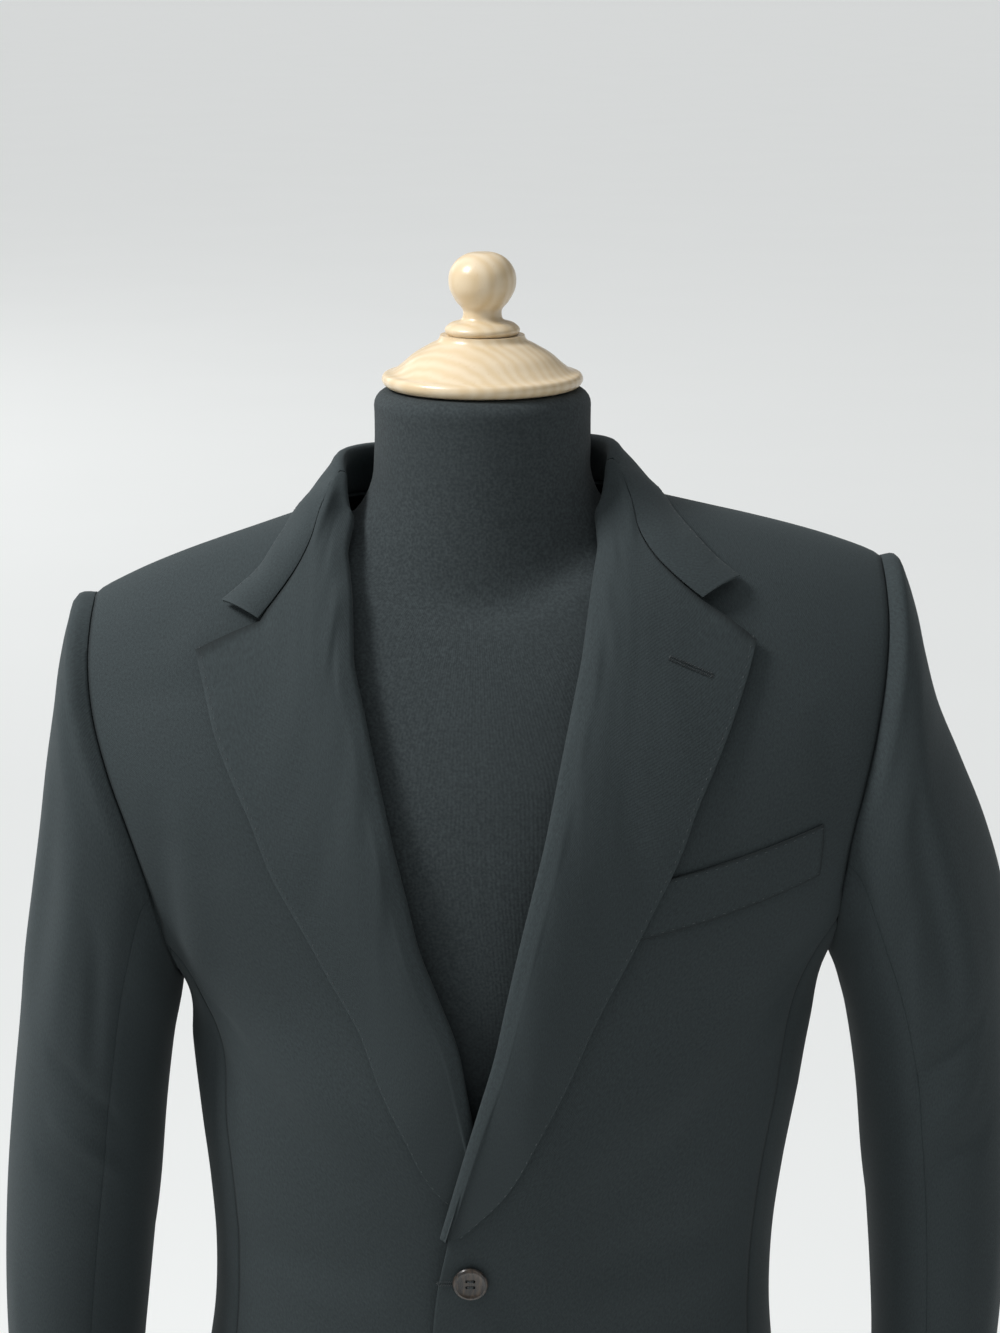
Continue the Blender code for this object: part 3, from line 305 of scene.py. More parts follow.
def jersey_recipe(tree):
    knit = add_node(tree, "ShaderNodeTexCoord", output="UV")
    body = add_node(tree, "ShaderNodeTexCoord", output="Object")
    loops = add_node(tree, "ShaderNodeTexWave", {"bands_direction": "X"},
                     {"Vector": knit, "Scale": WAVES / (KNIT_SPACING * MM), "Distortion": 2.0,
                      "Detail": 1.0, "Detail Scale": 2.0}, "Fac")
    fuzz = add_node(tree, "ShaderNodeTexNoise", {}, {"Vector": body, "Scale": 620.0,
                                                     "Detail": 2.0})
    clouds = add_node(tree, "ShaderNodeTexNoise", {}, {"Vector": body, "Scale": 9.0,
                                                       "Detail": 2.0})
    fuzz_share = add_node(tree, "ShaderNodeMapRange", {}, {0: fuzz, 1: 0.35, 2: 0.7})
    flecked = add_node(tree, "ShaderNodeMix", RGBA, {0: fuzz_share, 6: linear("#2d3335"),
                                                     7: linear("#3b4244")}, 2)
    cloud_share = add_node(tree, "ShaderNodeMapRange", {}, {0: clouds, 1: 0.35, 2: 0.7, 4: 0.45})
    height = add_node(tree, "ShaderNodeMath", {}, {0: loops, 1: fuzz})
    return {"Base Color": add_node(tree, "ShaderNodeMix", RGBA,
                                   {0: cloud_share, 6: flecked, 7: linear("#2f3537")}, 2),
            "Normal": add_node(tree, "ShaderNodeBump", {}, {"Height": height,
                                                            "Distance": 0.06 * MM})}


THREAD = new_finish(thread_recipe, "twisted cotton thread", Roughness=0.6, Sheen_Weight=0.2)
HORN = new_finish(horn_recipe, "polished horn", Coat_Weight=0.3, Coat_Roughness=0.12, IOR=1.54)
JERSEY = new_finish(jersey_recipe, "black cotton jersey", Roughness=0.92, Sheen_Weight=0.04,
                    Sheen_Roughness=0.5, Specular_IOR_Level=0.2)
print("loops of jersey for each centimetre:", round(10 / KNIT_SPACING))

# %% [markdown]
# ## Beech, painted steel and the floor
#
# Beech is pale and close-grained, with short darker flecks under a satin varnish. The stand's
# steel is painted black, and the paint has a fine orange-peel surface. The floor glows a little,
# as a light table does.

# %% Beech, steel and floor
BEECH_FLECK = 7.0               # millimetres
FLOOR_GLOW = 0.17


def beech_recipe(tree):
    place = add_node(tree, "ShaderNodeTexCoord", output="Object")
    trunk = add_node(tree, "ShaderNodeMapping", {},
                     {"Vector": place, "Location": (0.21, 0.34, 0.0), "Rotation": (0.12, 0.2, 0.0),
                      "Scale": (1.0, 1.0, 0.12)})
    grain = add_node(tree, "ShaderNodeTexWave", {"wave_type": "RINGS", "rings_direction": "Z"},
                     {"Vector": trunk, "Scale": 46.0, "Distortion": 3.5, "Detail": 2.0,
                      "Detail Scale": 1.2}, "Fac")
    drawn = add_node(tree, "ShaderNodeMapping", {}, {"Vector": place, "Scale": (1.0, 1.0, 0.3)})
    flecks = add_node(tree, "ShaderNodeTexNoise", {}, {"Vector": drawn,
                                                       "Scale": 3 / (BEECH_FLECK * MM),
                                                       "Detail": 3.0, "Roughness": 0.7})
    wood = add_node(tree, "ShaderNodeMix", RGBA, {0: grain, 6: linear("#d6c4a6"),
                                                  7: linear("#cfb995")}, 2)
    dark_share = add_node(tree, "ShaderNodeMapRange", {}, {0: flecks, 1: 0.6, 2: 0.78, 4: 0.3})
    return {"Base Color": add_node(tree, "ShaderNodeMix", RGBA,
                                   {0: dark_share, 6: wood, 7: linear("#bd9565")}, 2),
            "Roughness": add_node(tree, "ShaderNodeMapRange", {},
                                  {0: flecks, 1: 0.3, 2: 0.8, 3: 0.28, 4: 0.42}),
            "Normal": add_node(tree, "ShaderNodeBump", {}, {"Height": flecks,
                                                            "Distance": 0.06 * MM})}


def steel_recipe(tree):
    place = add_node(tree, "ShaderNodeTexCoord", output="Object")
    peel = add_node(tree, "ShaderNodeTexNoise", {}, {"Vector": place, "Scale": 520.0,
                                                     "Detail": 2.0})
    dust = add_node(tree, "ShaderNodeTexNoise", {}, {"Vector": place, "Scale": 22.0,
                                                     "Detail": 5.0})
    dust_share = add_node(tree, "ShaderNodeMapRange", {}, {0: dust, 1: 0.4, 2: 0.8, 4: 0.5})
    return {"Base Color": add_node(tree, "ShaderNodeMix", RGBA,
                                   {0: dust_share, 6: linear("#1b1c1d"), 7: linear("#2b2c2d")}, 2),
            "Roughness": add_node(tree, "ShaderNodeMapRange", {},
                                  {0: dust, 1: 0.3, 2: 0.8, 3: 0.36, 4: 0.55}),
            "Normal": add_node(tree, "ShaderNodeBump", {}, {"Height": peel,
                                                            "Distance": 0.05 * MM})}


def floor_recipe(tree):
    place = add_node(tree, "ShaderNodeTexCoord", output="Object")
    grain = add_node(tree, "ShaderNodeTexNoise", {}, {"Vector": place, "Scale": 1.2,
                                                      "Detail": 3.0})
    return {"Base Color": add_node(tree, "ShaderNodeMix", RGBA,
                                   {0: grain, 6: linear("#e6e8e7"), 7: linear("#e3e5e4")}, 2)}


BEECH = new_finish(beech_recipe, "varnished beech", Coat_Weight=0.25, Coat_Roughness=0.16,
                   IOR=1.5)
STEEL = new_finish(steel_recipe, "black painted steel", Coat_Weight=0.1, IOR=1.5)
floor_mesh.materials.append(new_finish(
    floor_recipe, "pale studio floor", Roughness=0.9, Specular_IOR_Level=0.1,
    Emission_Strength=FLOOR_GLOW, Emission_Color=(1, 1, 1, 1)))
print("finishes:", len(bpy.data.materials))

# %% [markdown]
# ## The surface of the coat
#
# A coat hangs as a stack of rings round the body. A place on it is an angle from the centre
# front and a distance down from the neck seam, so every cut line is a short list of such places.
# These are the same named sizes as in the part's source, in millimetres, so each fine sheet
# lies on its solid.

# %% Sizes of the coat
WALL = 2.0                      # outer cloth with its interlining
WELT_WALL = 1.5
SEAM_GAP = 0.36                 # between two pieces at a seam
LAYER_GAP = 0.5                 # between two pieces that lie on each other
SLEEVE_CLEARANCE = 0.35         # from the armhole out to the sleeve's edge
LEAN = 0.048                    # rise for each millimetre towards the wearer's left
LEAN_STARTS, LEAN_FULL = 800.0, 1200.0
LEAN_FADES, LEAN_ENDS = 1500.0, 1560.0
Level = namedtuple("Level", "down half_width sway side_z front_depth front_z"
                            " back_depth back_z roundness")
COAT_LEVELS = (
    Level(0,    80,    -2.5, 1487, 68,  1441, 68,  1478, 2.2),    # neck seam
    Level(60,   135,   0,    1472, 98,  1404, 91,  1450, 1.9),
    Level(110,  183,   2,    1458, 113, 1373, 104, 1422, 1.7),
    Level(157,  227,   4,    1440, 124, 1345, 112, 1395, 1.6),    # shoulder point
    Level(195,  262,   4,    1417, 129, 1322, 117, 1368, 1.6),
    Level(245,  280,   5,    1370, 132, 1296, 121, 1332, 1.7),
    Level(305,  262,   8,    1302, 134, 1258, 124, 1282, 1.8),
    Level(385,  190.5, 14,   1205, 134, 1198, 124, 1203, 2.1),    # foot of the armhole
    Level(430,  184,   12,   1160, 132, 1155, 121, 1159, 2.2),
    Level(570,  168,   7,    1020, 121, 1018, 98,  1020, 2.3),    # waist
    Level(750,  190,   2,    840,  126, 839,  118, 840,  2.3),
    Level(860,  196,   1,    730,  128, 729,  123, 730,  2.3),
)
SHOULDER_DOWN = 157.0
ARMPIT_DOWN = 385.0
HEM_DOWN = 835.0
ArmholeRow = namedtuple("ArmholeRow", "height half_width sway")
ARMHOLE = (
    ArmholeRow(1205, 190.5, 14),
    ArmholeRow(1245, 193,   12),
    ArmholeRow(1280, 198,   10),
    ArmholeRow(1325, 210,   8),
    ArmholeRow(1367, 222,   5),
    ArmholeRow(1413, 228,   4),
    ArmholeRow(1440, 227,   4),
)
ARMHOLE_STEP = 15               # degrees round the armhole between two points
EDGE_STEP = 0.05                # a narrow last row, so that a seam keeps its true slope
EDGE_EASE = 3                   # how soon a panel's rows leave the bend of its edge
NEAREST_TRIES = 14
FRONT_JOINT = 135               # where the side body's front seam meets the armhole
BACK_JOINT = 255                # where its back seam meets the armhole
SideSeam = namedtuple("SideSeam", "down front_angle back_angle")
SIDE_SEAMS = (
    SideSeam(430, 58, 123),
    SideSeam(570, 60, 121),
    SideSeam(750, 62, 119),
    SideSeam(HEM_DOWN, 63, 118),
)
OpeningRow = namedtuple("OpeningRow", "height left_x right_x")
OPENING = (
    OpeningRow(1075, -25.5, 14.5),
    OpeningRow(1150, -5,    -4),
    OpeningRow(1230, 15.5,  -24.5),
    OpeningRow(1281, 27.5,  -38.5),
    OpeningRow(1337, 40.5,  -52),
    OpeningRow(1381, 50,    -64),
    OpeningRow(1416, 57.5,  -70),
    OpeningRow(1459, 64,    -71.5),
)
BREAK_HEIGHT = 1075.0           # the lapels start to turn here
CENTRE_X = -5.5                 # the coat's centre line
BUTTON_STAND = 20.0             # from the centre line to the front edge
CutawayRow = namedtuple("CutawayRow", "height out")
CUTAWAY = (                     # the front edge below the lower button, from the centre line
    CutawayRow(747, 62),
    CutawayRow(750, 38),
    CutawayRow(764, 12),
    CutawayRow(795, -7),
    CutawayRow(850, -16),
    CutawayRow(930, -BUTTON_STAND),
    CutawayRow(1040, -BUTTON_STAND),
)
OverlapRow = namedtuple("OverlapRow", "height lift")
OVERLAP = (                     # how far the upper front stands off the lower one
    OverlapRow(730, 2.9),
    OverlapRow(1000, 3.1),
    OverlapRow(1070, 8.5),
    OverlapRow(1185, 8.5),
    OverlapRow(1290, 2.5),
    OverlapRow(1340, 0.0),
)
OVERLAP_FULL_X, OVERLAP_ENDS_X = 22.0, 75.0

# %% [markdown]
# A table of named rows is read smoothly between them, so that ten levels give one continuous
# body, and a place on the coat is turned into a point.

# %% Reading the tables
class Table:
    """Rows of named values, read smoothly at any value of their first column."""

    def __init__(self, rows):
        self.kind = type(rows[0])
        self.values = np.array(rows, float)
        self.keys = self.values[:, 0]
        steps = np.diff(self.keys)
        slopes = np.diff(self.values, axis=0) / steps[:, None]
        self.slopes = np.empty_like(self.values)
        self.slopes[0], self.slopes[-1] = slopes[0], slopes[-1]
        share = (steps[1:] / (steps[:-1] + steps[1:]))[:, None]
        self.slopes[1:-1] = share * slopes[:-1] + (1 - share) * slopes[1:]

    def __call__(self, key):
        first, last = self.keys[0], self.keys[-1]
        if key <= first:
            return self.kind(*(self.values[0] + self.slopes[0] * (key - first)))
        if key >= last:
            return self.kind(*(self.values[-1] + self.slopes[-1] * (key - last)))
        i = int(np.searchsorted(self.keys, key)) - 1
        step = self.keys[i + 1] - self.keys[i]
        u = (key - self.keys[i]) / step
        start, end = self.values[i], self.values[i + 1]
        blend = u * u * (3 - 2 * u)
        leave = u * (1 - u) ** 2 * step
        arrive = u * u * (u - 1) * step
        return self.kind(*(start + (end - start) * blend
                           + leave * self.slopes[i] + arrive * self.slopes[i + 1]))
COAT = Table(COAT_LEVELS)
ARMHOLE_LINE = Table(ARMHOLE)
SIDE_LINE = Table(SIDE_SEAMS)
OPENING_LINE = Table(OPENING)


def smooth_step(value, start, end):
    """0 before start, 1 after end and a smooth change between them."""
    u = min(1.0, max(0.0, (value - start) / (end - start)))
    return u * u * (3 - 2 * u)


def straight(rows, key):
    """A table of two named columns, read in straight runs."""
    table = np.array(rows, float)
    return [float(np.interp(key, table[:, 0], table[:, c])) for c in range(1, table.shape[1])]


def unit(vector):
    return vector / np.linalg.norm(vector)


def body_point(levels, angle, down):
    """A place on a ringed body, at an angle round it and a distance down from the neck."""
    level = levels(down)
    across = math.sin(math.radians(angle))
    ahead = math.cos(math.radians(angle))
    n = level.roundness
    reach = (abs(across) ** n + abs(ahead) ** n) ** (-1 / n)
    depth, end_z = (level.front_depth, level.front_z) if ahead > 0 \
        else (level.back_depth, level.back_z)
    return np.array([level.sway + level.half_width * reach * across,
                     -depth * reach * ahead,
                     end_z + (level.side_z - end_z) * across * across])


def body_normal(levels, angle, down):
    """The outward direction of a ringed body."""
    around = body_point(levels, angle + 0.5, down) - body_point(levels, angle - 0.5, down)
    along = body_point(levels, angle, down + 1) - body_point(levels, angle, down - 1)
    return unit(np.cross(along, around))


def settle(point):
    """The coat's slight lean, applied to every piece that hangs from the shoulders."""
    x, y, z = point
    lean = smooth_step(z, LEAN_STARTS, LEAN_FULL) * (1 - smooth_step(z, LEAN_FADES, LEAN_ENDS))
    return np.array([x, y, z + LEAN * x * lean])


def overlap_lift(side, point):
    """How far the upper front is lifted to pass over the lower one."""
    if side != LEFT or point[1] > 0:
        return 0.0
    return straight(OVERLAP, point[2])[0] * (1 - smooth_step(point[0], OVERLAP_FULL_X,
                                                             OVERLAP_ENDS_X))


def coat_point(side, place, lift=0.0):
    """A point on the coat, or above it by a lift; the angle of the place runs from the front."""
    angle, down = side * place[0], place[1]
    point = body_point(COAT, angle, down)
    total = lift + overlap_lift(side, point)
    return point + body_normal(COAT, angle, down) * total if total else point


def place_from_front(side, x, height):
    """The place on the coat's front that is seen at x and height."""
    place = np.array([35.0, max(10.0, 1440.0 - height)])
    aim = np.array([x, height])
    for _ in range(80):
        here = body_point(COAT, side * place[0], place[1])[[0, 2]]
        miss = aim - here
        if np.abs(miss).max() < 1e-4:
            return place
        turn = (body_point(COAT, side * (place[0] + 0.1), place[1])[[0, 2]] - here) / 0.1
        fall = (body_point(COAT, side * place[0], place[1] + 0.1)[[0, 2]] - here) / 0.1
        step = np.linalg.solve(np.column_stack([turn, fall]), miss)
        place = place + np.clip(step, (-6, -25), (6, 25))
        place[1] = max(place[1], -15.0)
    raise ValueError(f"no place on the front at x {x}, height {height}")


def armhole_place(side, turn):
    """The place on the armhole at a turn, from 0 at the shoulder over the front to 180."""
    turn = turn % 360
    middle, half = (SHOULDER_DOWN + ARMPIT_DOWN) / 2, (ARMPIT_DOWN - SHOULDER_DOWN) / 2
    down = middle - half * math.cos(math.radians(turn))
    if turn in (0, 180):
        return np.array([90.0, down])
    inner, outer = (0.0, 90.0) if turn < 180 else (180.0, 90.0)
    for _ in range(40):
        angle = (inner + outer) / 2
        point = body_point(COAT, side * angle, down)
        line = ARMHOLE_LINE(point[2])
        if side * (point[0] - line.sway) < line.half_width:
            inner = angle
        else:
            outer = angle
    return np.array([angle, down])


def armhole_places(side, start, end):
    step = ARMHOLE_STEP if end > start else -ARMHOLE_STEP
    return np.array([armhole_place(side, turn) for turn in range(start, end + step, step)])


def line_places(side, controls, shares):
    """Places on a smooth line through the controls, at shares of its real length."""
    controls = np.array(controls, float)
    points = np.array([coat_point(side, c) for c in controls])
    reach = np.concatenate([[0], np.cumsum(np.linalg.norm(np.diff(points, axis=0), axis=1))])
    row = namedtuple("LineRow", "reach angle down")
    line = Table([row(r, *c) for r, c in zip(reach, controls)])
    fine = np.linspace(0, reach[-1], 160)
    places = np.array([line(r)[1:] for r in fine])
    points = np.array([coat_point(side, p) for p in places])
    length = np.concatenate([[0], np.cumsum(np.linalg.norm(np.diff(points, axis=0), axis=1))])
    wanted = np.asarray(shares) * length[-1]
    return np.column_stack([np.interp(wanted, length, places[:, c]) for c in (0, 1)])


print("half chest at the armhole:", round(COAT(ARMPIT_DOWN).half_width), "mm")

# %% [markdown]
# A cut piece is a patch of that surface between its four seams. Its rows are first drawn straight
# across in space, then laid down on the surface.

# %% Patches between seams
def length_shares(points):
    """Each point's share of the whole length along a line."""
    length = np.linalg.norm(np.diff(points, axis=0), axis=1)
    return np.concatenate([[0], np.cumsum(length)]) / length.sum()


def ruled(edges, across, upward):
    """Straight rows from the left edge to the right one, eased into the bottom and the top."""
    bottom, top, left, right = edges
    rows = (1 - across) * left[:, None] + across * right[:, None]
    return (rows + (top - rows[-1]) * upward ** EDGE_EASE
            + (bottom - rows[0]) * (1 - upward) ** EDGE_EASE)


def nearest_place(side, place, target):
    """The place on the coat nearest to a point, found from a place beside it."""
    for _ in range(NEAREST_TRIES):
        here = body_point(COAT, side * place[0], place[1])
        turn = body_point(COAT, side * (place[0] + 1), place[1]) - here
        fall = body_point(COAT, side * place[0], place[1] + 1) - here
        step, *_ = np.linalg.lstsq(np.column_stack([turn, fall]), target - here, rcond=None)
        place = place + np.clip(step, (-6, -25), (6, 25))
        if np.abs(step).max() < 0.01:
            break
    return place


def patch(side, bottom, top, left, right):
    """Places inside four edges of places: bottom and top run left to right, the others up."""
    edges = (bottom, top, left, right)
    lines = [np.array([body_point(COAT, side * angle, down) for angle, down in edge])
             for edge in edges]
    across = length_shares(lines[1])[None, :, None]
    upward = length_shares(lines[3])[:, None, None]
    wanted = ruled(lines, across, upward)
    places = ruled(edges, across, upward)
    for row in range(1, len(left) - 1):
        for column in range(1, len(top) - 1):
            places[row, column] = nearest_place(side, places[row, column], wanted[row, column])
    return places


def halved(points):
    """The line with a point in the middle of each of its steps."""
    middles = (points[1:] + points[:-1]) / 2
    return np.insert(points, range(1, len(points)), middles, axis=0)


def edged(count, edge):
    """Even shares with a narrow step at each end, so that a seam keeps its true slope."""
    inner = np.linspace(edge, 1 - edge, count - 1)
    return np.concatenate([[0], inner, [1]])


def trimmed(grid, gap=SEAM_GAP / 2, sides="btlr"):
    """The grid with its chosen edges moved inwards: bottom, top, left and right."""
    grid = grid.copy()
    views = {"b": lambda g: g, "t": lambda g: g[::-1],
             "l": lambda g: g.transpose(1, 0, 2), "r": lambda g: g.transpose(1, 0, 2)[::-1]}
    for side in sides:
        view = views[side](grid)
        tangent = np.gradient(view[0], axis=0)
        tangent /= np.linalg.norm(tangent, axis=1)[:, None]
        inward = view[1] - view[0]
        inward /= np.linalg.norm(inward, axis=1)[:, None]
        square = np.linalg.norm(inward - (inward * tangent).sum(1)[:, None] * tangent, axis=1)
        view[0] += inward * (gap / np.maximum(square, 0.5))[:, None]
    return grid

# %% [markdown]
# ## From coarse rows to fine cloth
#
# The rows above are 20 to 80 mm apart. Cloth needs a few millimetres, so each grid is read
# smoothly between its rows, with shorter steps beside the seams. Real corners, such as the notch,
# are named so that they stay sharp.

# %% Finer grids
CLOTH_STEP = 4.5                # millimetres between two points of the fine cloth
EDGE_FINE = 1.6                 # beside a seam or an edge
Fine = namedtuple("Fine", "points down across")      # the grid, and the length along each way


def mean_reach(grid, axis):
    """The mean length along one way of a grid, at each of its rows or columns."""
    steps = np.linalg.norm(np.diff(grid[..., :3], axis=axis), axis=-1).mean(axis=1 - axis)
    return np.concatenate([[0], np.cumsum(np.maximum(steps, 0.01))])


def finer(keys, step):
    """The keys with others between them, closest together at both ends."""
    wanted = [keys[:1]]
    for index, (start, end) in enumerate(zip(keys, keys[1:])):
        size = EDGE_FINE if index in (0, len(keys) - 2) else step
        wanted.append(np.linspace(start, end, max(1, math.ceil((end - start) / size)) + 1)[1:])
    return np.concatenate(wanted)


def read_smoothly(values, keys, wanted, corners=()):
    """Values along the first axis at the wanted keys; a corner keeps its two own directions."""
    steps = np.diff(keys)
    slopes = np.diff(values, axis=0) / steps[:, None, None]
    share = (steps[1:] / (steps[:-1] + steps[1:]))[:, None, None]
    middle = share * slopes[:-1] + (1 - share) * slopes[1:]
    arrive = np.concatenate([2 * slopes[:1] - middle[:1], middle, 2 * slopes[-1:] - middle[-1:]])
    leave = arrive.copy()
    for index, rows in corners:
        arrive[index, rows] = slopes[index - 1, rows]
        leave[index, rows] = slopes[index, rows]
    cell = np.clip(np.searchsorted(keys, wanted, side="right") - 1, 0, len(steps) - 1)
    u = ((wanted - keys[cell]) / steps[cell])[:, None, None]
    start, end, step = values[cell], values[cell + 1], steps[cell][:, None, None]
    return (start + (end - start) * u * u * (3 - 2 * u)
            + step * (u * (1 - u) ** 2 * leave[cell] + u * u * (u - 1) * arrive[cell + 1]))


def refined(grid, step=CLOTH_STEP, column_corners=(), row_corners=()):
    """The grid with points a few millimetres apart; each corner is (index, rows it holds for)."""
    down, across = mean_reach(grid, 0), mean_reach(grid, 1)
    fine_down, fine_across = finer(down, step), finer(across, step)
    wide = read_smoothly(grid.transpose(1, 0, 2), across, fine_across, column_corners)
    points = read_smoothly(wide.transpose(1, 0, 2), down, fine_down,
                           [(row, slice(None)) for row in row_corners])
    return Fine(points, fine_down, fine_across)

# %% [markdown]
# ## Folds placed one by one
#
# Hanging cloth is never quite flat. Each fold here is a soft ridge or trough along a line, with
# its own width and height in millimetres, and it fades at both ends. Folds of the body are
# written as seen from the front or the back, so that the front, its lapel and the welt on it
# move together and never cut through each other.

# %% Folds of the body
Fold = namedtuple("Fold", "x0 z0 x1 z1 width height")
FRONT_FOLDS = (                 # seen from the front: x and height of each end
    Fold(-181, 1345, -172, 1175, 9, -2.6),       # the dent beside the right armhole, running down
    Fold(-168, 1350, -158, 1200, 11, 1.5),
    Fold(-178, 1322, -140, 1290, 9, -1.2),
    Fold(-205, 1390, -130, 1402, 8, -0.8),       # a faint crease across the right chest
    Fold(-150, 1432, -176, 1408, 9, 0.9),
    Fold(190, 1372, 205, 1300, 10, -1.3),        # left armhole, above the welt
    Fold(178, 1240, 196, 1130, 12, -1.6),
    Fold(160, 1245, 172, 1120, 13, 1.2),
    Fold(-150, 1235, -60, 1120, 16, 1.6),        # from the chest to the upper button
    Fold(-165, 1200, -70, 1100, 15, -1.5),
    Fold(150, 1210, 60, 1110, 16, 1.5),
    Fold(165, 1175, 62, 1085, 14, -1.5),
    Fold(-150, 1068, -55, 1050, 13, -1.7),       # the pull across the waist
    Fold(-140, 1040, -40, 1030, 12, 1.3),
    Fold(150, 1072, 50, 1056, 13, -1.5),
    Fold(150, 1046, 45, 1032, 13, 1.2),
    Fold(-120, 960, -60, 800, 18, 1.6),
    Fold(-84, 930, -46, 770, 16, -1.3),
    Fold(120, 950, 70, 790, 18, 1.5),
    Fold(88, 915, 52, 770, 15, -1.2),
)
BACK_FOLDS = (
    Fold(-150, 1330, -140, 1180, 16, 2.0),
    Fold(-170, 1325, -162, 1190, 11, -1.9),
    Fold(152, 1335, 146, 1195, 15, 1.9),
    Fold(172, 1320, 165, 1180, 11, -1.8),
    Fold(-90, 1432, 84, 1436, 18, -1.0),         # below the collar
    Fold(-70, 1408, 76, 1414, 20, 0.8),
    Fold(-130, 1095, -30, 1050, 16, 1.8),        # above the waist
    Fold(-120, 1060, -25, 1024, 13, -1.6),
    Fold(134, 1090, 34, 1048, 16, 1.7),
    Fold(122, 1052, 30, 1020, 13, -1.5),
    Fold(-60, 960, -88, 760, 22, 1.7),
    Fold(66, 950, 84, 765, 20, 1.6),
    Fold(20, 930, 34, 740, 16, -1.2),
    Fold(-22, 920, -40, 750, 15, -1.1),
)


def fold_height(seen, folds):
    """The sum of the folds at points seen flat."""
    total = np.zeros(seen.shape[:-1])
    for fold in folds:
        start, end = np.array(fold[:2], float), np.array(fold[2:4], float)
        along = end - start
        share = np.clip((seen - start) @ along / (along @ along), 0, 1)
        away = np.linalg.norm(seen - start - share[..., None] * along, axis=-1)
        total += (fold.height * np.exp(-(away / fold.width) ** 2)
                  * np.sin(np.pi * share) ** 0.7)
    return total


BODY_HALF, BODY_DEPTH = 190.0, 128.0
SHOULDER_LOW, SHOULDER_HIGH, SHOULDER_SLOPE = 1340.0, 1460.0, 1.5


def body_away(points):
    """The way out of the body at points on or above the coat."""
    up = np.clip((points[..., 2] - SHOULDER_LOW) / (SHOULDER_HIGH - SHOULDER_LOW), 0, 1)
    away = np.stack([points[..., 0] / BODY_HALF ** 2, points[..., 1] / BODY_DEPTH ** 2,
                     up * SHOULDER_SLOPE / BODY_DEPTH], axis=-1)
    return away / np.linalg.norm(away, axis=-1)[..., None]


def body_folds(points):
    """Points of the coat's body moved by its folds."""
    seen = points[..., [0, 2]]
    ahead = np.clip(-points[..., 1] / 50 + 0.3, 0, 1)
    behind = np.clip(points[..., 1] / 50, 0, 1)
    height = fold_height(seen, FRONT_FOLDS) * ahead + fold_height(seen, BACK_FOLDS) * behind
    return points + body_away(points) * height[..., None]


print("folds of the body:", len(FRONT_FOLDS) + len(BACK_FOLDS))

# %% [markdown]
# ## A sheet of cloth
#
# A fine grid becomes a mesh with its own UV map in metres, so the weave keeps its size. Solidify
# gives the cloth its wall and Bevel softens its cut edge. Beside a seam the cloth rolls in a
# little, which is what makes a seam read as a soft groove. An attribute marks free edges, which
# are painted a shade paler, partly for the wear of pressing and partly as a painted highlight;
# another marks seams, where painted shade darkens the groove.

# %% Making a sheet
ROLL_IN_WIDTH = 3.0             # millimetres
# How far the paler free edge reaches (pressing wear and a painted highlight), and how far the
# painted shade of a seam reaches
EDGE_WEAR_AND_HIGHLIGHT_REACH = 1.8
SEAM_SHADE = 1.5                # how far the dark of a sunken seam reaches


def grid_normals(points):
    """The direction square to a grid at each of its points."""
    normal = np.cross(np.gradient(points, axis=1), np.gradient(points, axis=0))
    return normal / np.maximum(np.linalg.norm(normal, axis=-1), 1e-9)[..., None]


def outward_normals(points, outward):
    normal = grid_normals(points)
    facing = sum(float(np.dot(normal[r, c], outward(points[r, c])))
                 for r in range(2, len(points), 9) for c in range(2, points.shape[1], 9))
    return normal if facing > 0 else -normal


def edge_distance(fine, sides):
    """The distance of each point from the nearest of the named edges."""
    down, across = fine.down, fine.across
    away = {"b": down[:, None], "t": (down[-1] - down)[:, None],
            "l": across[None, :], "r": (across[-1] - across)[None, :]}
    shape = (len(down), len(across))
    return np.min([np.broadcast_to(away[side], shape) for side in sides], axis=0)


def rolled_in(fine, away, sides, depth):
    """The cloth drawn in beside its seams, by one depth or by a depth for each point."""
    drop = depth * np.exp(-(edge_distance(fine, sides) / ROLL_IN_WIDTH) ** 2)
    return fine._replace(points=fine.points - away * drop[..., None])


def vector_settle(points):
    """The coat's slight lean, for a whole grid."""
    return np.apply_along_axis(settle, -1, points)


def mark(mesh, name, fine, sides, width):
    """An attribute that is 1 at the named edges and falls away from them."""
    shape = (len(fine.down), len(fine.across))
    value = np.exp(-(edge_distance(fine, sides) / width) ** 2) if sides else np.zeros(shape)
    mesh.attributes.new(name, "FLOAT", "POINT").data.foreach_set("value", value.ravel())


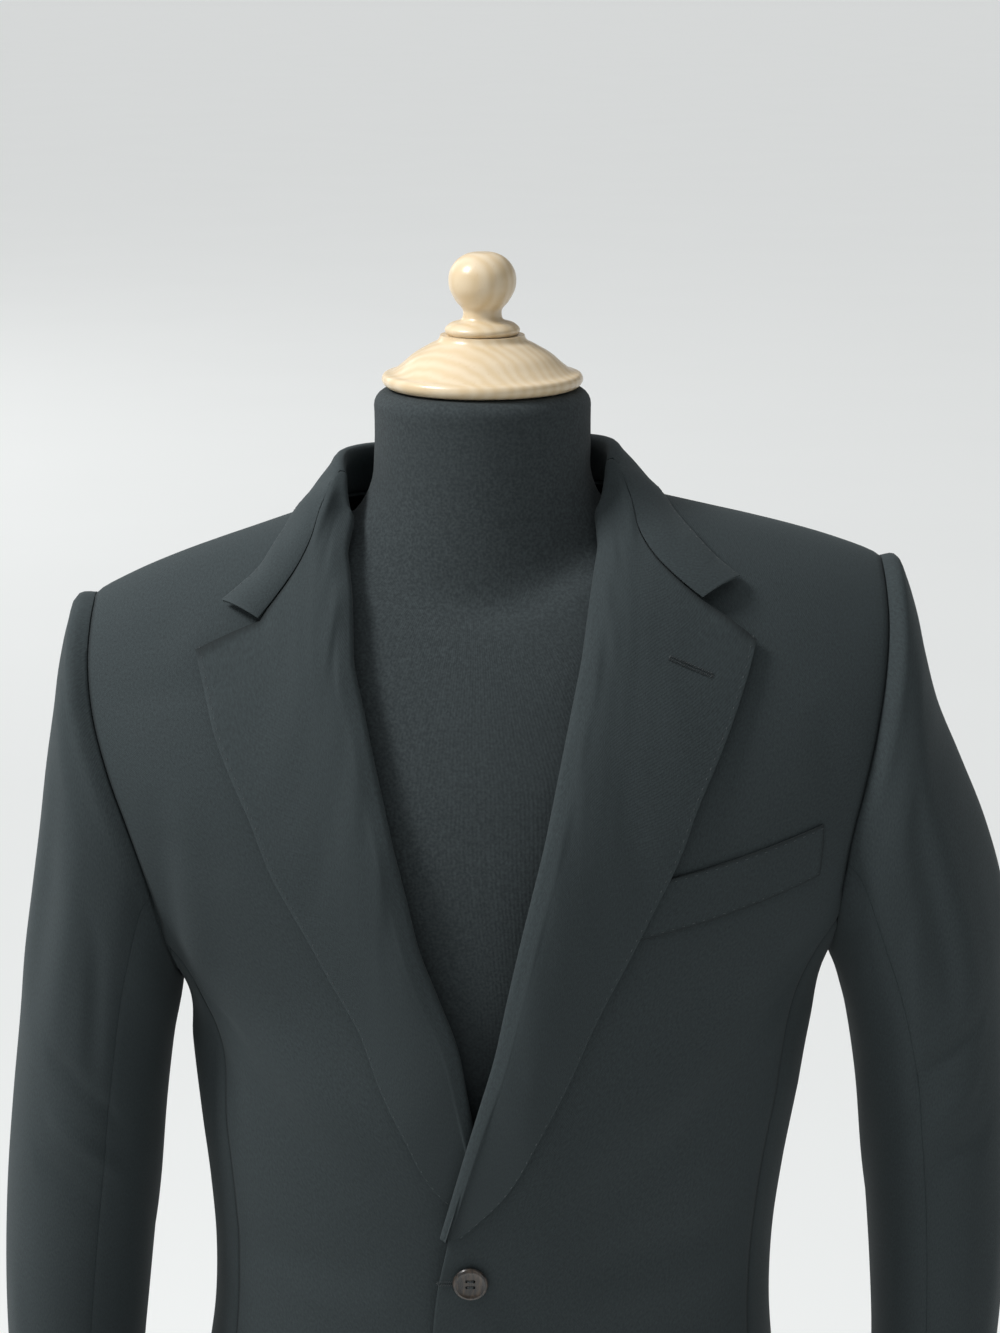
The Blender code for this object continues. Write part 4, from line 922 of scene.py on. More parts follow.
def cloth_piece(name, fine, outward, free="", seams="", wall=WALL, kept=None):
    """A named sheet of cloth: its outer side is the grid, and its wall lies within."""
    points = vector_settle(fine.points)
    rows, columns = points.shape[:2]
    index = np.arange(rows * columns).reshape(rows, columns)
    quads = np.stack([index[:-1, :-1], index[:-1, 1:], index[1:, 1:], index[1:, :-1]], axis=-1)
    if kept is not None:
        quads = quads[kept]
    quads = quads.reshape(-1, 4)
    normal = grid_normals(points)
    facing = sum(float(np.dot(normal[r, c], outward(points[r, c])))
                 for r in range(2, rows, 7) for c in range(2, columns, 7))
    if facing < 0:              # the quads are turned so that their faces point out
        quads = quads[:, ::-1]
    mesh = bpy.data.meshes.new(name)
    mesh.from_pydata((points.reshape(-1, 3) * MM).tolist(), [], quads.tolist())
    flat = np.stack(np.broadcast_arrays(fine.across[None, :], fine.down[:, None]), axis=-1)
    flat = flat.reshape(-1, 2) * MM
    corners = np.array([loop.vertex_index for loop in mesh.loops])
    layer = mesh.uv_layers.new(name="UVMap")
    layer.data.foreach_set("uv", flat[corners].ravel())
    # Attributes for painted light: "edge" makes free edges paler (pressing wear and a painted
    # highlight), "seam" darkens seams with painted shade
    mark(mesh, "edge", fine, free, EDGE_WEAR_AND_HIGHLIGHT_REACH)
    mark(mesh, "seam", fine, seams, SEAM_SHADE)
    loose = bmesh.new()
    loose.from_mesh(mesh)
    bmesh.ops.delete(loose, geom=[v for v in loose.verts if not v.link_faces], context="VERTS")
    loose.to_mesh(mesh)
    loose.free()
    mesh.materials.append(WOOL)
    for polygon in mesh.polygons:
        polygon.use_smooth = True
    item = bpy.data.objects.new(name, mesh)
    SCENE.collection.objects.link(item)
    thick = item.modifiers.new("wall", "SOLIDIFY")
    thick.thickness, thick.offset = wall * MM, -1
    soft = item.modifiers.new("soft edge", "BEVEL")
    soft.width, soft.segments, soft.limit_method = 0.5 * MM, 2, "ANGLE"
    soft.angle_limit = math.radians(60)
    return item


def on_the_body(item, node):
    """A finished piece rides on the body and stands for its node."""
    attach(item, "root")
    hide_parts(node)
    return item

# %% [markdown]
# ## The panels
#
# Each half of the coat is three panels: a front, a side body and a back. Their edges are the
# seams that a cutter would draw, so neighbours share them with a hair's width between.

# %% Panel outlines
LOW_SHARES = (0, .015, .035, .065, .11, .18, .27, .37, .47, .57, .67, .77, .88, .975, 1)
SHOULDER_SHARES = edged(8, 0.03)
ROLL_SHARES = (0, .12, .26, .4, .54, .67, .78, .87, .94, 1)     # from the break to the neck
FRONT_NECK_CELLS = 2
BACK_NECK_CELLS = 4
RollRow = namedtuple("RollRow", "height lift bulge")
ROLL = (                        # outer face above the front at the roll, and its soft bulge
    RollRow(1070, 2.4, 0.0),
    RollRow(1150, 2.7, 0.3),
    RollRow(1235, 5.0, 2.6),
    RollRow(1520, 5.0, 2.6),
)
ROLL_INSET = 1.7                # from the front's own edge out to the centre of the roll
FACING_GAP = 2 * WALL + 0.9     # from the front's outer face to the outer face of the facing
ROLL_STARTS = 14.0              # below the break, where the front's edge starts to draw back


def opening_x(side, height):
    row = OPENING_LINE(height)
    return row.left_x if side == LEFT else row.right_x


def roll_setback(height):
    """From the visible edge of the roll back to the front's own edge."""
    lift = straight(ROLL, height)[0]
    radius = (lift + FACING_GAP) / 2
    return (radius + ROLL_INSET) * smooth_step(height, BREAK_HEIGHT - ROLL_STARTS, BREAK_HEIGHT)


def front_edge_controls(side):
    """The front's own edge from the hem up to the neck seam."""
    low = [place_from_front(side, CENTRE_X + side * row.out, row.height) for row in CUTAWAY]
    high = [place_from_front(side, opening_x(side, h) + side * roll_setback(h), h)
            for h in (1085, 1150, 1230, 1281, 1337, 1381, 1416, 1448)]
    return low, high + [np.array([neck_angle(side), 0.0])]


def neck_angle(side):
    """Where the front's edge meets the neck seam, found from the edge's distance out."""
    reach = abs(opening_x(side, 1462) + side * roll_setback(1462) - COAT(0).sway)
    angles = np.linspace(40, 89, 99)
    outs = [abs(body_point(COAT, side * a, 0)[0] - COAT(0).sway) for a in angles]
    return float(np.interp(reach, outs, angles))


def side_seam(side, joint_turn, angle_name):
    """A side body seam from the hem up to the armhole, as controls."""
    low = [np.array([getattr(SIDE_LINE(d), angle_name), d]) for d in (HEM_DOWN, 750, 660, 570, 470)]
    return low + [armhole_place(side, joint_turn)]


def neck_and_shoulder(side, start_angle, neck_cells):
    """The top edge of a panel: along the neck seam, then out along the shoulder seam."""
    neck = np.column_stack([np.linspace(start_angle, 90, neck_cells + 1),
                            np.zeros(neck_cells + 1)])
    shoulder = np.column_stack([np.full(len(SHOULDER_SHARES), 90.0),
                                SHOULDER_SHARES * SHOULDER_DOWN])
    return np.vstack([neck, shoulder[1:]])


def with_edge_step(places):
    """The line with one more place, close to its end."""
    return np.insert(places, -1, places[-1] + (places[-2] - places[-1]) * EDGE_STEP, axis=0)


def panel_grid(side, places):
    return np.array([[coat_point(side, place) for place in row] for row in places])


def hem_places(start, end, count):
    """A hem edge between two angles."""
    angles = start + (end - start) * edged(count, 0.03)
    return np.column_stack([angles, np.full(count + 1, HEM_DOWN)])


def front_places(side):
    low, high = front_edge_controls(side)
    arm = armhole_places(side, FRONT_JOINT, 0)
    edge_low = line_places(side, low + high[:1], LOW_SHARES)
    edge_high = line_places(side, high, ROLL_SHARES)
    left = with_edge_step(np.vstack([edge_low, edge_high[1:]]))
    seam = line_places(side, side_seam(side, FRONT_JOINT, "front_angle"), LOW_SHARES)
    right = with_edge_step(np.vstack([seam, arm[1:]]))
    top = neck_and_shoulder(side, left[-1][0], FRONT_NECK_CELLS)
    bottom = line_places(side, [left[0], (left[0] * 2 + right[0]) / 3 + (0, 1), right[0]],
                         edged(len(top) - 1, 0.03))
    return patch(side, bottom, top, left, right)


def back_places(side):
    arm = armhole_places(side, BACK_JOINT, 360)
    seam = line_places(side, side_seam(side, BACK_JOINT, "back_angle"), LOW_SHARES)
    right = with_edge_step(np.vstack([seam, arm[1:]]))
    centre = [np.array([180.0, d]) for d in (HEM_DOWN, 600, 400, 200, 0)]
    shares = np.concatenate([np.array(LOW_SHARES) * 0.68,
                             0.68 + 0.32 * np.linspace(0, 1, len(arm))[1:]])
    left = with_edge_step(line_places(side, centre, shares))
    top = neck_and_shoulder(side, 180, BACK_NECK_CELLS)
    bottom = hem_places(180, right[0][0], len(top) - 1)
    return patch(side, bottom, top, left, right)


def side_body_places(side):
    top = armhole_places(side, FRONT_JOINT, BACK_JOINT)
    top = with_edge_step(with_edge_step(top)[::-1])[::-1]
    left = line_places(side, side_seam(side, FRONT_JOINT, "front_angle"), LOW_SHARES)
    right = line_places(side, side_seam(side, BACK_JOINT, "back_angle"), LOW_SHARES)
    bottom = hem_places(left[0][0], right[0][0], len(top) - 1)
    return patch(side, bottom, top, left, right)

# %% [markdown]
# The cut of each sheet is what a cutter would lay on the table: its width and length, and the
# area of cloth that is left once its corners are cut away.

# %% Cutting the panels
Cut = namedtuple("Cut", "width length area")
SEAM_DEPTH = 0.7                # millimetres that a seam draws the cloth in
SEWN_GAP = 0.04                 # from each piece to its seam
ARMHOLE_SEAM_DEPTH = 0.9
made = {}


def away_from_axis(point):
    return np.array([point[0], point[1], 0.0])


def grid_area(points):
    first = np.cross(points[1:, :-1] - points[:-1, :-1], points[:-1, 1:] - points[:-1, :-1])
    second = np.cross(points[1:, :-1] - points[1:, 1:], points[:-1, 1:] - points[1:, 1:])
    return (np.linalg.norm(first, axis=-1) + np.linalg.norm(second, axis=-1)).sum() / 2 * 1e-6


def declare(item, fine):
    """Prints the sheet's cut: its width and length, and its area."""
    reach = [np.linalg.norm(np.diff(fine.points, axis=axis), axis=-1).sum(axis=axis).max()
             for axis in (1, 0)]
    print(f"{item.name}: {reach[0]:.0f} x {reach[1]:.0f} mm, {grid_area(fine.points):.4f} m2")


def add_panel(kind, side, word, places, neck_cells, seams, free):
    grid = trimmed(panel_grid(side, places), SEWN_GAP)
    fine = refined(grid, CLOTH_STEP, [(neck_cells, [-1, -2])] if neck_cells else [])
    fine = fine._replace(points=body_folds(fine.points))
    armhole = np.clip((fine.points[..., 2] - ARMHOLE[0].height) / 30, 0, 1)
    depth = SEAM_DEPTH + (ARMHOLE_SEAM_DEPTH - SEAM_DEPTH) * armhole
    fine = rolled_in(fine, body_away(fine.points), seams, depth)
    item = cloth_piece(f"{kind}_{word}_cloth", fine, away_from_axis, free, seams)
    on_the_body(item, f"{kind}_{word}")
    declare(item, fine)
    made[kind, side] = fine


for side, word in ((LEFT, "left"), (RIGHT, "right")):
    add_panel("front", side, word, front_places(side), FRONT_NECK_CELLS, "r", "bl")
    add_panel("side_body", side, word, side_body_places(side), None, "lr", "b")
    add_panel("back", side, word, back_places(side), BACK_NECK_CELLS, "lr", "b")

# %% [markdown]
# ## Lapels
#
# A lapel is the front's facing, turned back over a soft roll. The sheet starts behind the front
# edge, goes round the roll and lies on the chest with its free edge just lifted. Its upper edge is
# the gorge seam, shared with the collar, and then the notch.

# %% Lapel sizes
LAPEL_EDGE_LIFT = 4.7           # outer face above the front, at the lapel's free edge
LAPEL_FOOT_WIDTH = 9.0
FACING_DEPTH = 1.3              # how far the lapel's cloth returns below its roll
RISE_FADE = 42.0                # from the roll to where the lapel lies flat again
EdgeRow = namedtuple("EdgeRow", "height left_x right_x")
LAPEL_EDGE = (
    EdgeRow(1110, 12,  -24),
    EdgeRow(1150, 34,  -44),
    EdgeRow(1190, 54,  -60),
    EdgeRow(1225, 71,  -74.5),
    EdgeRow(1256, 87.5, -91),
    EdgeRow(1290, 105, -110),
    EdgeRow(1329, 121, -127),
    EdgeRow(1352, 132, -138),
    EdgeRow(1380, 143.5, -149),
)
LAPEL_CORNER = {LEFT: (153.0, 1409.0), RIGHT: (-158.0, 1416.0)}
GORGE = {LEFT: ((90.0, 1461.0), (104.0, 1446.0)),     # seam of lapel and collar, x and height
         RIGHT: ((-97.0, 1462.0), (-108.0, 1447.0))}
NOTCH = (122.0, 1431.0)
COLLAR_TIP = (144.0, 1440.0)
FoldRow = namedtuple("FoldRow", "angle height radius inset")
FOLD = (
    FoldRow(77,  21.0, 3.8,  1.4),
    FoldRow(90,  25.0, 3.4,  1.5),
    FoldRow(120, 28.0, 3.4,  1.6),
    FoldRow(180, 31.0, 3.4,  1.6),
)
GORGE_ANGLE = 78.0              # where the fold of the collar becomes the lapel's roll
CollarRow = namedtuple("CollarRow", "angle down")
COLLAR_EDGE = (
    CollarRow(64, 66),
    CollarRow(74, 40),
    CollarRow(90, 27),
    CollarRow(120, 26),
    CollarRow(150, 23),
    CollarRow(180, 22),
)
GORGE_GAP = 0.7                 # between the lapel and the collar, as both bend sharply there
COLLAR_EDGE_LIFT = 3.4
COLLAR_BULGE = 3.6
FOLD_LINE = Table(FOLD)
RollFrame = namedtuple("RollFrame", "seat centre up inward radius neck")
NECK_SHARES = (0.3, 0.6, 0.85, 1.0)
GORGE_CELLS = 5
NOTCH_CELLS = 3


def neck_frame(side, angle):
    """The fold over the neck seam: its seat, centre, directions and radius."""
    fold = FOLD_LINE(angle)
    seat = coat_point(side, (angle, 0.0))
    ring = body_point(COAT, side * (angle + 1), 0) - body_point(COAT, side * (angle - 1), 0)
    inward = unit(np.array([-side * ring[1], side * ring[0], 0.0]))
    upright = np.array([0.0, 0.0, 1.0])
    centre = seat + inward * fold.inset + upright * (fold.height - fold.radius)
    return RollFrame(seat, centre, upright, inward, fold.radius, 1.0)


def roll_frames(side):
    """The frames of a lapel's roll from its foot to the collar, with their places."""
    _, high = front_edge_controls(side)
    places = halved(line_places(side, high, ROLL_SHARES))
    seats = halved(np.array([coat_point(side, place) for place in places[::2]]))
    frames = []
    for index, place in enumerate(places):
        before, after = seats[max(index - 1, 0)], seats[min(index + 1, len(seats) - 1)]
        up = body_normal(COAT, side * place[0], place[1])
        inward = unit(np.cross(after - before, up)) * -side
        lift = straight(ROLL, seats[index][2])[0]
        radius = (lift + FACING_GAP) / 2
        centre = seats[index] + inward * ROLL_INSET + up * (lift - radius)
        frames.append(RollFrame(seats[index], centre, up, inward, radius, 0.0))
    flat, start = frames[-1], places[-1][0]
    flat_height = straight(ROLL, flat.seat[2])[0]
    target = FOLD_LINE(GORGE_ANGLE)
    for share in NECK_SHARES:
        angle = start + (GORGE_ANGLE - start) * share
        fold, blend = neck_frame(side, angle), smooth_step(share, 0, 1)
        up = unit(flat.up * (1 - blend) + fold.up * blend)
        inward = unit(flat.inward * (1 - blend) + fold.inward * blend)
        radius = flat.radius * (1 - blend) + target.radius * blend
        height = flat_height * (1 - blend) + target.height * blend
        inset = ROLL_INSET * (1 - blend) + target.inset * blend
        centre = fold.seat + inward * inset + up * (height - radius)
        frames.append(RollFrame(fold.seat, centre, up, inward, radius, share))
        places = np.vstack([places, [angle, 0.0]])
    return frames, places


def lapel_places(side, roll):
    """Places of a lapel between its roll, its free edge and the gorge."""
    name = "left_x" if side == LEFT else "right_x"
    foot_height = coat_point(side, roll[0])[2] + 4
    foot_x = coat_point(side, roll[0])[0] + side * LAPEL_FOOT_WIDTH
    edge = [place_from_front(side, foot_x, foot_height)]
    edge += [place_from_front(side, getattr(row, name), row.height) for row in LAPEL_EDGE]
    edge.append(place_from_front(side, *LAPEL_CORNER[side]))
    right = line_places(side, edge, np.linspace(0, 1, len(roll)))
    gorge = [roll[-1]] + [place_from_front(side, x, z) for x, z in GORGE[side]]
    gorge.append(place_from_front(side, side * NOTCH[0], NOTCH[1]))
    gorge = line_places(side, gorge, np.linspace(0, 1, GORGE_CELLS + 1))
    notch = line_places(side, [gorge[-1], (gorge[-1] + right[-1]) / 2, right[-1]],
                        np.linspace(0, 1, NOTCH_CELLS + 1))
    top = np.vstack([gorge, notch[1:]])
    shares = np.linspace(0, 1, len(top))[:, None]
    bottom = roll[0] * (1 - shares) + right[0] * shares
    return patch(side, bottom, top, roll, right)


def lapel_face(side, frames, places):
    """The lapel's visible face, from the roll to the free edge."""
    grid = []
    for frame, row in zip(frames, places):
        flat = np.array([coat_point(side, place) for place in row])
        reach = np.concatenate([[0], np.cumsum(np.linalg.norm(np.diff(flat, axis=0), axis=1))])
        top = frame.centre + frame.up * frame.radius
        lift, bulge = straight(ROLL, flat[0][2])
        edge_lift = min(LAPEL_EDGE_LIFT, lift + 0.02 * reach[-1])
        points = []
        for place, distance in zip(row, reach):
            share = distance / reach[-1]
            height = (lift * (1 - share) + edge_lift * share
                      + bulge * math.sin(math.pi * share ** 0.6))
            points.append(coat_point(side, place, height))
        rise = top - points[0]
        for index, distance in enumerate(reach):
            fade = max(0.0, 1 - distance / RISE_FADE) ** 1.4
            points[index] = points[index] + rise * fade
        grid.append(points)
    return np.array(grid)


def around(frame, degrees):
    """A point on the roll: 0 on top, 90 at the visible edge and 180 underneath."""
    turn = math.radians(degrees)
    return frame.centre + frame.radius * (frame.up * math.cos(turn)
                                          + frame.inward * math.sin(turn))


def lapel_return(frames):
    """The lapel's cloth round the roll and behind the front: four points for each row."""
    rows = []
    for frame in frames:
        under = frame.centre - frame.up * frame.radius
        end = under - frame.inward * FACING_DEPTH
        inner = frame.centre + frame.inward * frame.radius
        level = inner - frame.up * np.dot(inner - frame.seat, frame.up)
        stand = (level - frame.up, level + frame.up * 2, around(frame, 90), around(frame, 45))
        flat = (end, under, around(frame, 120), around(frame, 60))
        blend = smooth_step(frame.neck, 0, 0.6)
        rows.append([a * (1 - blend) + b * blend for a, b in zip(flat, stand)])
    return np.array(rows)


def outward_from_front(point):
    return np.array([0.0, -1.0, 0.3])

# %% [markdown]
# The lapel's own folds are few: the soft hollow beside the roll, small waves towards the notch
# and a lifted edge near the corner.

# %% Lapels
LAPEL_STEP = 3.2
LAPEL_FOLDS = {
    RIGHT: (Fold(-79, 1502, -89, 1480, 4.5, 0.9), Fold(-101, 1484, -112, 1470, 4.5, -0.8),
            Fold(-128, 1437, -154, 1420, 5, 0.8), Fold(-119, 1436, -124, 1428, 5, -1.0),
            Fold(-92, 1425, -120, 1330, 12, 0.9), Fold(-70, 1380, -95, 1270, 9, -0.8)),
    LEFT: (Fold(86, 1490, 92, 1470, 5, 0.8), Fold(128, 1426, 150, 1414, 5, 0.7),
           Fold(95, 1420, 118, 1330, 12, 0.9), Fold(72, 1380, 96, 1260, 9, -0.8)),
}
RETURN_CELLS = 4


def lapel_folds(points, side):
    height = fold_height(points[..., [0, 2]], LAPEL_FOLDS[side])
    return points + body_away(points) * height[..., None]


def add_lapel(side, word):
    """One lapel; returns its gorge, which the collar shares."""
    frames, roll = roll_frames(side)
    places = lapel_places(side, roll)
    face = lapel_face(side, frames, places)
    grid = trimmed(np.concatenate([lapel_return(frames), face], axis=1), GORGE_GAP / 2, "t")
    fine = refined(grid, LAPEL_STEP, [(RETURN_CELLS + GORGE_CELLS, [-1])])
    fine = fine._replace(points=lapel_folds(body_folds(fine.points), side))
    item = cloth_piece(f"lapel_{word}_cloth", fine, outward_from_front, "r", "t")
    on_the_body(item, f"lapel_{word}")
    declare(item, fine)
    made["lapel", side] = fine
    return face[-1, :GORGE_CELLS + 1]


gorges = {side: add_lapel(side, word) for side, word in ((LEFT, "left"), (RIGHT, "right"))}

# %% [markdown]
# ## Collar
#
# The collar stands up round the neck, folds over and falls to its edge. It is one sheet of
# columns round the neck. Below the gorge, where the fall meets the lapels, the stand is cut away.

# %% Collar
COLLAR_BACK_SHARES = (0, .02, .12, .24, .36, .48, .6, .72, .85, 1)    # gorge to centre back
TIP_SHARE = 0.42                # of the collar's edge that runs from the tip to the gorge's top
STAND_ROWS = 4
FALL_SHARES = (0, .09, .3, .52, .76, 1)


def collar_column(side, angle, edge_place):
    """The collar across one place: up the stand, over the fold and down to its edge."""
    frame = neck_frame(side, angle)
    foot = frame.seat + frame.inward + frame.up * LAYER_GAP
    side_point = around(frame, 90)
    stand = [foot, (foot + side_point) / 2, side_point, around(frame, 45)]
    return stand + collar_fall(side, around(frame, 0), edge_place, around(frame, -48))


def collar_fall(side, start, edge_place, second=None):
    """The fall from the fold or the gorge to the collar's edge."""
    end = coat_point(side, edge_place, COLLAR_EDGE_LIFT)
    normal = body_normal(COAT, side * edge_place[0], edge_place[1])
    points = []
    for share in FALL_SHARES:
        bow = COLLAR_BULGE * 4 * share * (1 - share)
        points.append(start + (end - start) * share + normal * bow)
    if second is not None:
        points[1] = second
    return points


def collar_half(side, gorge):
    """Columns of one half, from the tip at the notch to the centre back."""
    tip = place_from_front(side, side * COLLAR_TIP[0], COLLAR_TIP[1])
    controls = [tip] + [np.array([row.angle, row.down]) for row in COLLAR_EDGE]
    back_shares = np.array(COLLAR_BACK_SHARES)
    shares = np.concatenate([np.linspace(0, TIP_SHARE, GORGE_CELLS + 1)[:-1],
                             TIP_SHARE + (1 - TIP_SHARE) * back_shares])
    edge = line_places(side, controls, shares)
    columns = []
    for index in range(GORGE_CELLS):
        fall = collar_fall(side, gorge[::-1][index], edge[index])
        columns.append([fall[0]] * STAND_ROWS + fall)
    for share, place in zip(back_shares, edge[GORGE_CELLS:]):
        angle = GORGE_ANGLE + (180 - GORGE_ANGLE) * share
        columns.append(collar_column(side, angle, place))
    return columns


def open_corner(columns):
    """Draws the collar back from the lapel along the gorge and at the end of the fold."""
    corner, after = columns[GORGE_CELLS:GORGE_CELLS + 2]
    for row in range(STAND_ROWS + 1):
        corner[row] = corner[row] + unit(after[row] - corner[row]) * GORGE_GAP
    for column in columns[:GORGE_CELLS + 1]:
        start, below = column[STAND_ROWS:STAND_ROWS + 2]
        column[STAND_ROWS] = start + unit(below - start) * GORGE_GAP / 2
    return columns


COLLAR_STEP = 3.0
TIP_LIFT, TIP_REACH = 1.8, 26.0             # the collar's points lift off the chest a little
COLLAR_FOLDS = (
    Fold(-101, 1490, -116, 1468, 4.5, -1.1), Fold(-113, 1476, -122, 1462, 4, 0.8),
    Fold(-117, 1474, -133, 1452, 4.5, -0.9), Fold(100, 1490, 116, 1466, 5, -0.9),
    Fold(112, 1478, 130, 1452, 5, 0.8),
)


def add_collar():
    left = open_corner(collar_half(LEFT, gorges[LEFT]))
    right = open_corner(collar_half(RIGHT, gorges[RIGHT]))
    grid = np.array(right + left[::-1][1:]).transpose(1, 0, 2)
    last = grid.shape[1] - 1
    inner = [GORGE_CELLS, last - GORGE_CELLS]
    stand_rows = list(range(STAND_ROWS + 1))
    fine = refined(grid, COLLAR_STEP, [(column, stand_rows) for column in inner])
    row_stops, column_stops = mean_reach(grid, 0), mean_reach(grid, 1)
    rows = fine.down[:-1] < row_stops[STAND_ROWS] - 1e-6
    columns = ((fine.across[:-1] < column_stops[inner[0]] - 1e-6)
               | (fine.across[:-1] >= column_stops[inner[1]] - 1e-6))
    kept = ~(rows[:, None] & columns[None, :])
    points = body_folds(fine.points)
    seen = points[..., [0, 2]]
    height = fold_height(seen, COLLAR_FOLDS) * (points[..., 1] < 0)
    for side in (LEFT, RIGHT):
        away = np.hypot(seen[..., 0] - side * COLLAR_TIP[0], seen[..., 1] - COLLAR_TIP[1])
        height += TIP_LIFT * np.exp(-(away / TIP_REACH) ** 2) * (points[..., 1] < 0)
    fine = fine._replace(points=points + body_away(points) * height[..., None])

    def outward(point):
        return np.array([0.0, 0.3, 1.0])
    item = cloth_piece("collar_cloth", fine, outward, "tlr", kept=kept)
    on_the_body(item, "collar")
    declare(item, fine)
    made["collar"] = fine


add_collar()

# %% [markdown]
# ## Breast welt
#
# The pocket on the left chest is closed by a welt: a folded strip sewn on along its lower edge
# and its two ends. It slopes up towards the arm.

# %% Breast welt
WELT_INNER_LOW, WELT_INNER_HIGH = (82.0, 1253.5), (97.0, 1287.0)
WELT_OUTER_LOW, WELT_OUTER_HIGH = (190.0, 1276.0), (192.0, 1306.0)
WELT_LIFT = 0.4
WELT_STEP = 1.6


def add_welt():
    corners = [place_from_front(LEFT, *corner) for corner in
               (WELT_INNER_LOW, WELT_OUTER_LOW, WELT_INNER_HIGH, WELT_OUTER_HIGH)]
    low = line_places(LEFT, [corners[0], (corners[0] + corners[1]) / 2, corners[1]],
                      np.linspace(0, 1, 11))
    high = line_places(LEFT, [corners[2], (corners[2] + corners[3]) / 2, corners[3]],
                       np.linspace(0, 1, 11))
    grid = np.array([[coat_point(LEFT, low[i] * (1 - s) + high[i] * s, WELT_LIFT + WELT_WALL)
                      for i in range(11)] for s in (0, 0.5, 1)])
    fine = refined(grid, WELT_STEP)
    fine = fine._replace(points=body_folds(fine.points))
    # All four edges of the welt get the painted seam shade, standing for the shadow along its raised
    # outline
    item = cloth_piece("breast_welt_cloth", fine, outward_from_front, "", "tblr", WELT_WALL)
    on_the_body(item, "breast_welt")
    declare(item, fine)
    made["welt"] = fine


add_welt()

# %% [markdown]
# ## Sleeves
#
# Each sleeve is a top sleeve and an under sleeve, sewn along two seams. It leaves the true
# armhole and eases into sections that get smaller towards the cuff. The sleeve head is eased into
# the armhole over a strip of wadding, so it stands up in a soft roll beside the seam.

# %% Sleeve sizes
SleeveRow = namedtuple("SleeveRow", "share outer_x outer_z inner_x inner_z half_depth centre_y")
SLEEVES = {
    LEFT: (
        SleeveRow(0.00, 231, 1440, 204.5, 1205, 75, -3),
        SleeveRow(0.04, 239, 1438, 207,   1200, 77, -4),
        SleeveRow(0.09, 248, 1421, 210,   1193, 80, -5),
        SleeveRow(0.15, 255, 1392, 213,   1183, 82, -6),
        SleeveRow(0.23, 266, 1352, 217,   1168, 82, -7),
        SleeveRow(0.32, 285, 1308, 221,   1146, 80, -8),
        SleeveRow(0.43, 304, 1254, 226,   1112, 77, -9),
        SleeveRow(0.55, 313, 1186, 231,   1065, 73, -10),
        SleeveRow(0.68, 316, 1100, 236,   1008, 69, -13),
        SleeveRow(0.82, 312, 990,  238,   940,  62, -21),
        SleeveRow(0.92, 303, 905,  235,   882,  57, -29),
        SleeveRow(1.00, 297, 838,  231,   838,  54, -35),
    ),
    RIGHT: (
        SleeveRow(0.00, -223, 1440, -176.5, 1205, 75, -3),
        SleeveRow(0.04, -233, 1437, -178,   1200, 77, -4),
        SleeveRow(0.09, -241, 1417, -179,   1193, 80, -5),
        SleeveRow(0.15, -246, 1387, -181,   1183, 82, -6),
        SleeveRow(0.23, -253, 1343, -184,   1168, 82, -7),
        SleeveRow(0.32, -259, 1297, -187,   1146, 80, -8),
        SleeveRow(0.43, -267, 1247, -191,   1112, 77, -9),
        SleeveRow(0.55, -274, 1184, -196,   1065, 73, -10),
        SleeveRow(0.68, -283, 1100, -202,   1008, 69, -13),
        SleeveRow(0.82, -286, 990,  -208,   940,  62, -21),
        SleeveRow(0.92, -281, 905,  -210,   882,  57, -29),
        SleeveRow(1.00, -277, 838,  -209,   838,  54, -35),
    ),
}
SLEEVE_FRONT_SEAM = 112.5       # degrees round the sleeve from its top
SLEEVE_BACK_SEAM = 262.5
SEAM_STEP = 3                   # degrees of the narrow strip beside each sleeve seam
SLEEVE_ROUNDNESS = 2.15
SLEEVE_SHARES = (0, .015, .04, .07, .11, .16, .22, .29, .37, .45, .53, .61, .69, .77, .85,
                 .93, 1)


def sleeve_section(row, turn):
    """A point of a sleeve's section: turn 0 is its outer side, 90 its front."""
    outer = np.array([row.outer_x, 0, row.outer_z])
    inner = np.array([row.inner_x, 0, row.inner_z])
    out = math.cos(math.radians(turn))
    ahead = math.sin(math.radians(turn))
    n = SLEEVE_ROUNDNESS
    reach = (abs(out) ** n + abs(ahead) ** n) ** (-1 / n)
    return ((outer + inner) / 2 + (outer - inner) / 2 * out * reach
            + np.array([0, row.centre_y - row.half_depth * ahead * reach, 0]))


def sleeve_grid(side, start, end):
    """The sleeve between two turns: it leaves the true armhole and eases into its sections."""
    table = Table(SLEEVES[side])
    first, last = math.floor(start / ARMHOLE_STEP), math.ceil(end / ARMHOLE_STEP)
    stops = np.arange(first, last + 1) * ARMHOLE_STEP
    turns = np.array([start, start + SEAM_STEP, *stops[1:-1], end - SEAM_STEP, end])
    ring = np.array([coat_point(side, armhole_place(side, int(stop))) for stop in stops])
    rings = np.column_stack([np.interp(turns, stops, ring[:, axis]) for axis in range(3)])
    offsets = [ring - sleeve_section(table(0), turn) for ring, turn in zip(rings, turns)]
    grid = []
    for share in SLEEVE_SHARES:
        ease = 1 - smooth_step(share, 0, 0.30)
        row = table(share)
        grid.append([sleeve_section(row, turn) + offset * ease
                     for turn, offset in zip(turns, offsets)])
    grid = np.array(grid)
    grid[0, :, 0] += side * SLEEVE_CLEARANCE
    return grid

# %% [markdown]
# Folds of a sleeve are written by the turn round it and the share of its length, because they
# run over its seams: long soft ones down the outside, and short ones in the bend of the elbow.

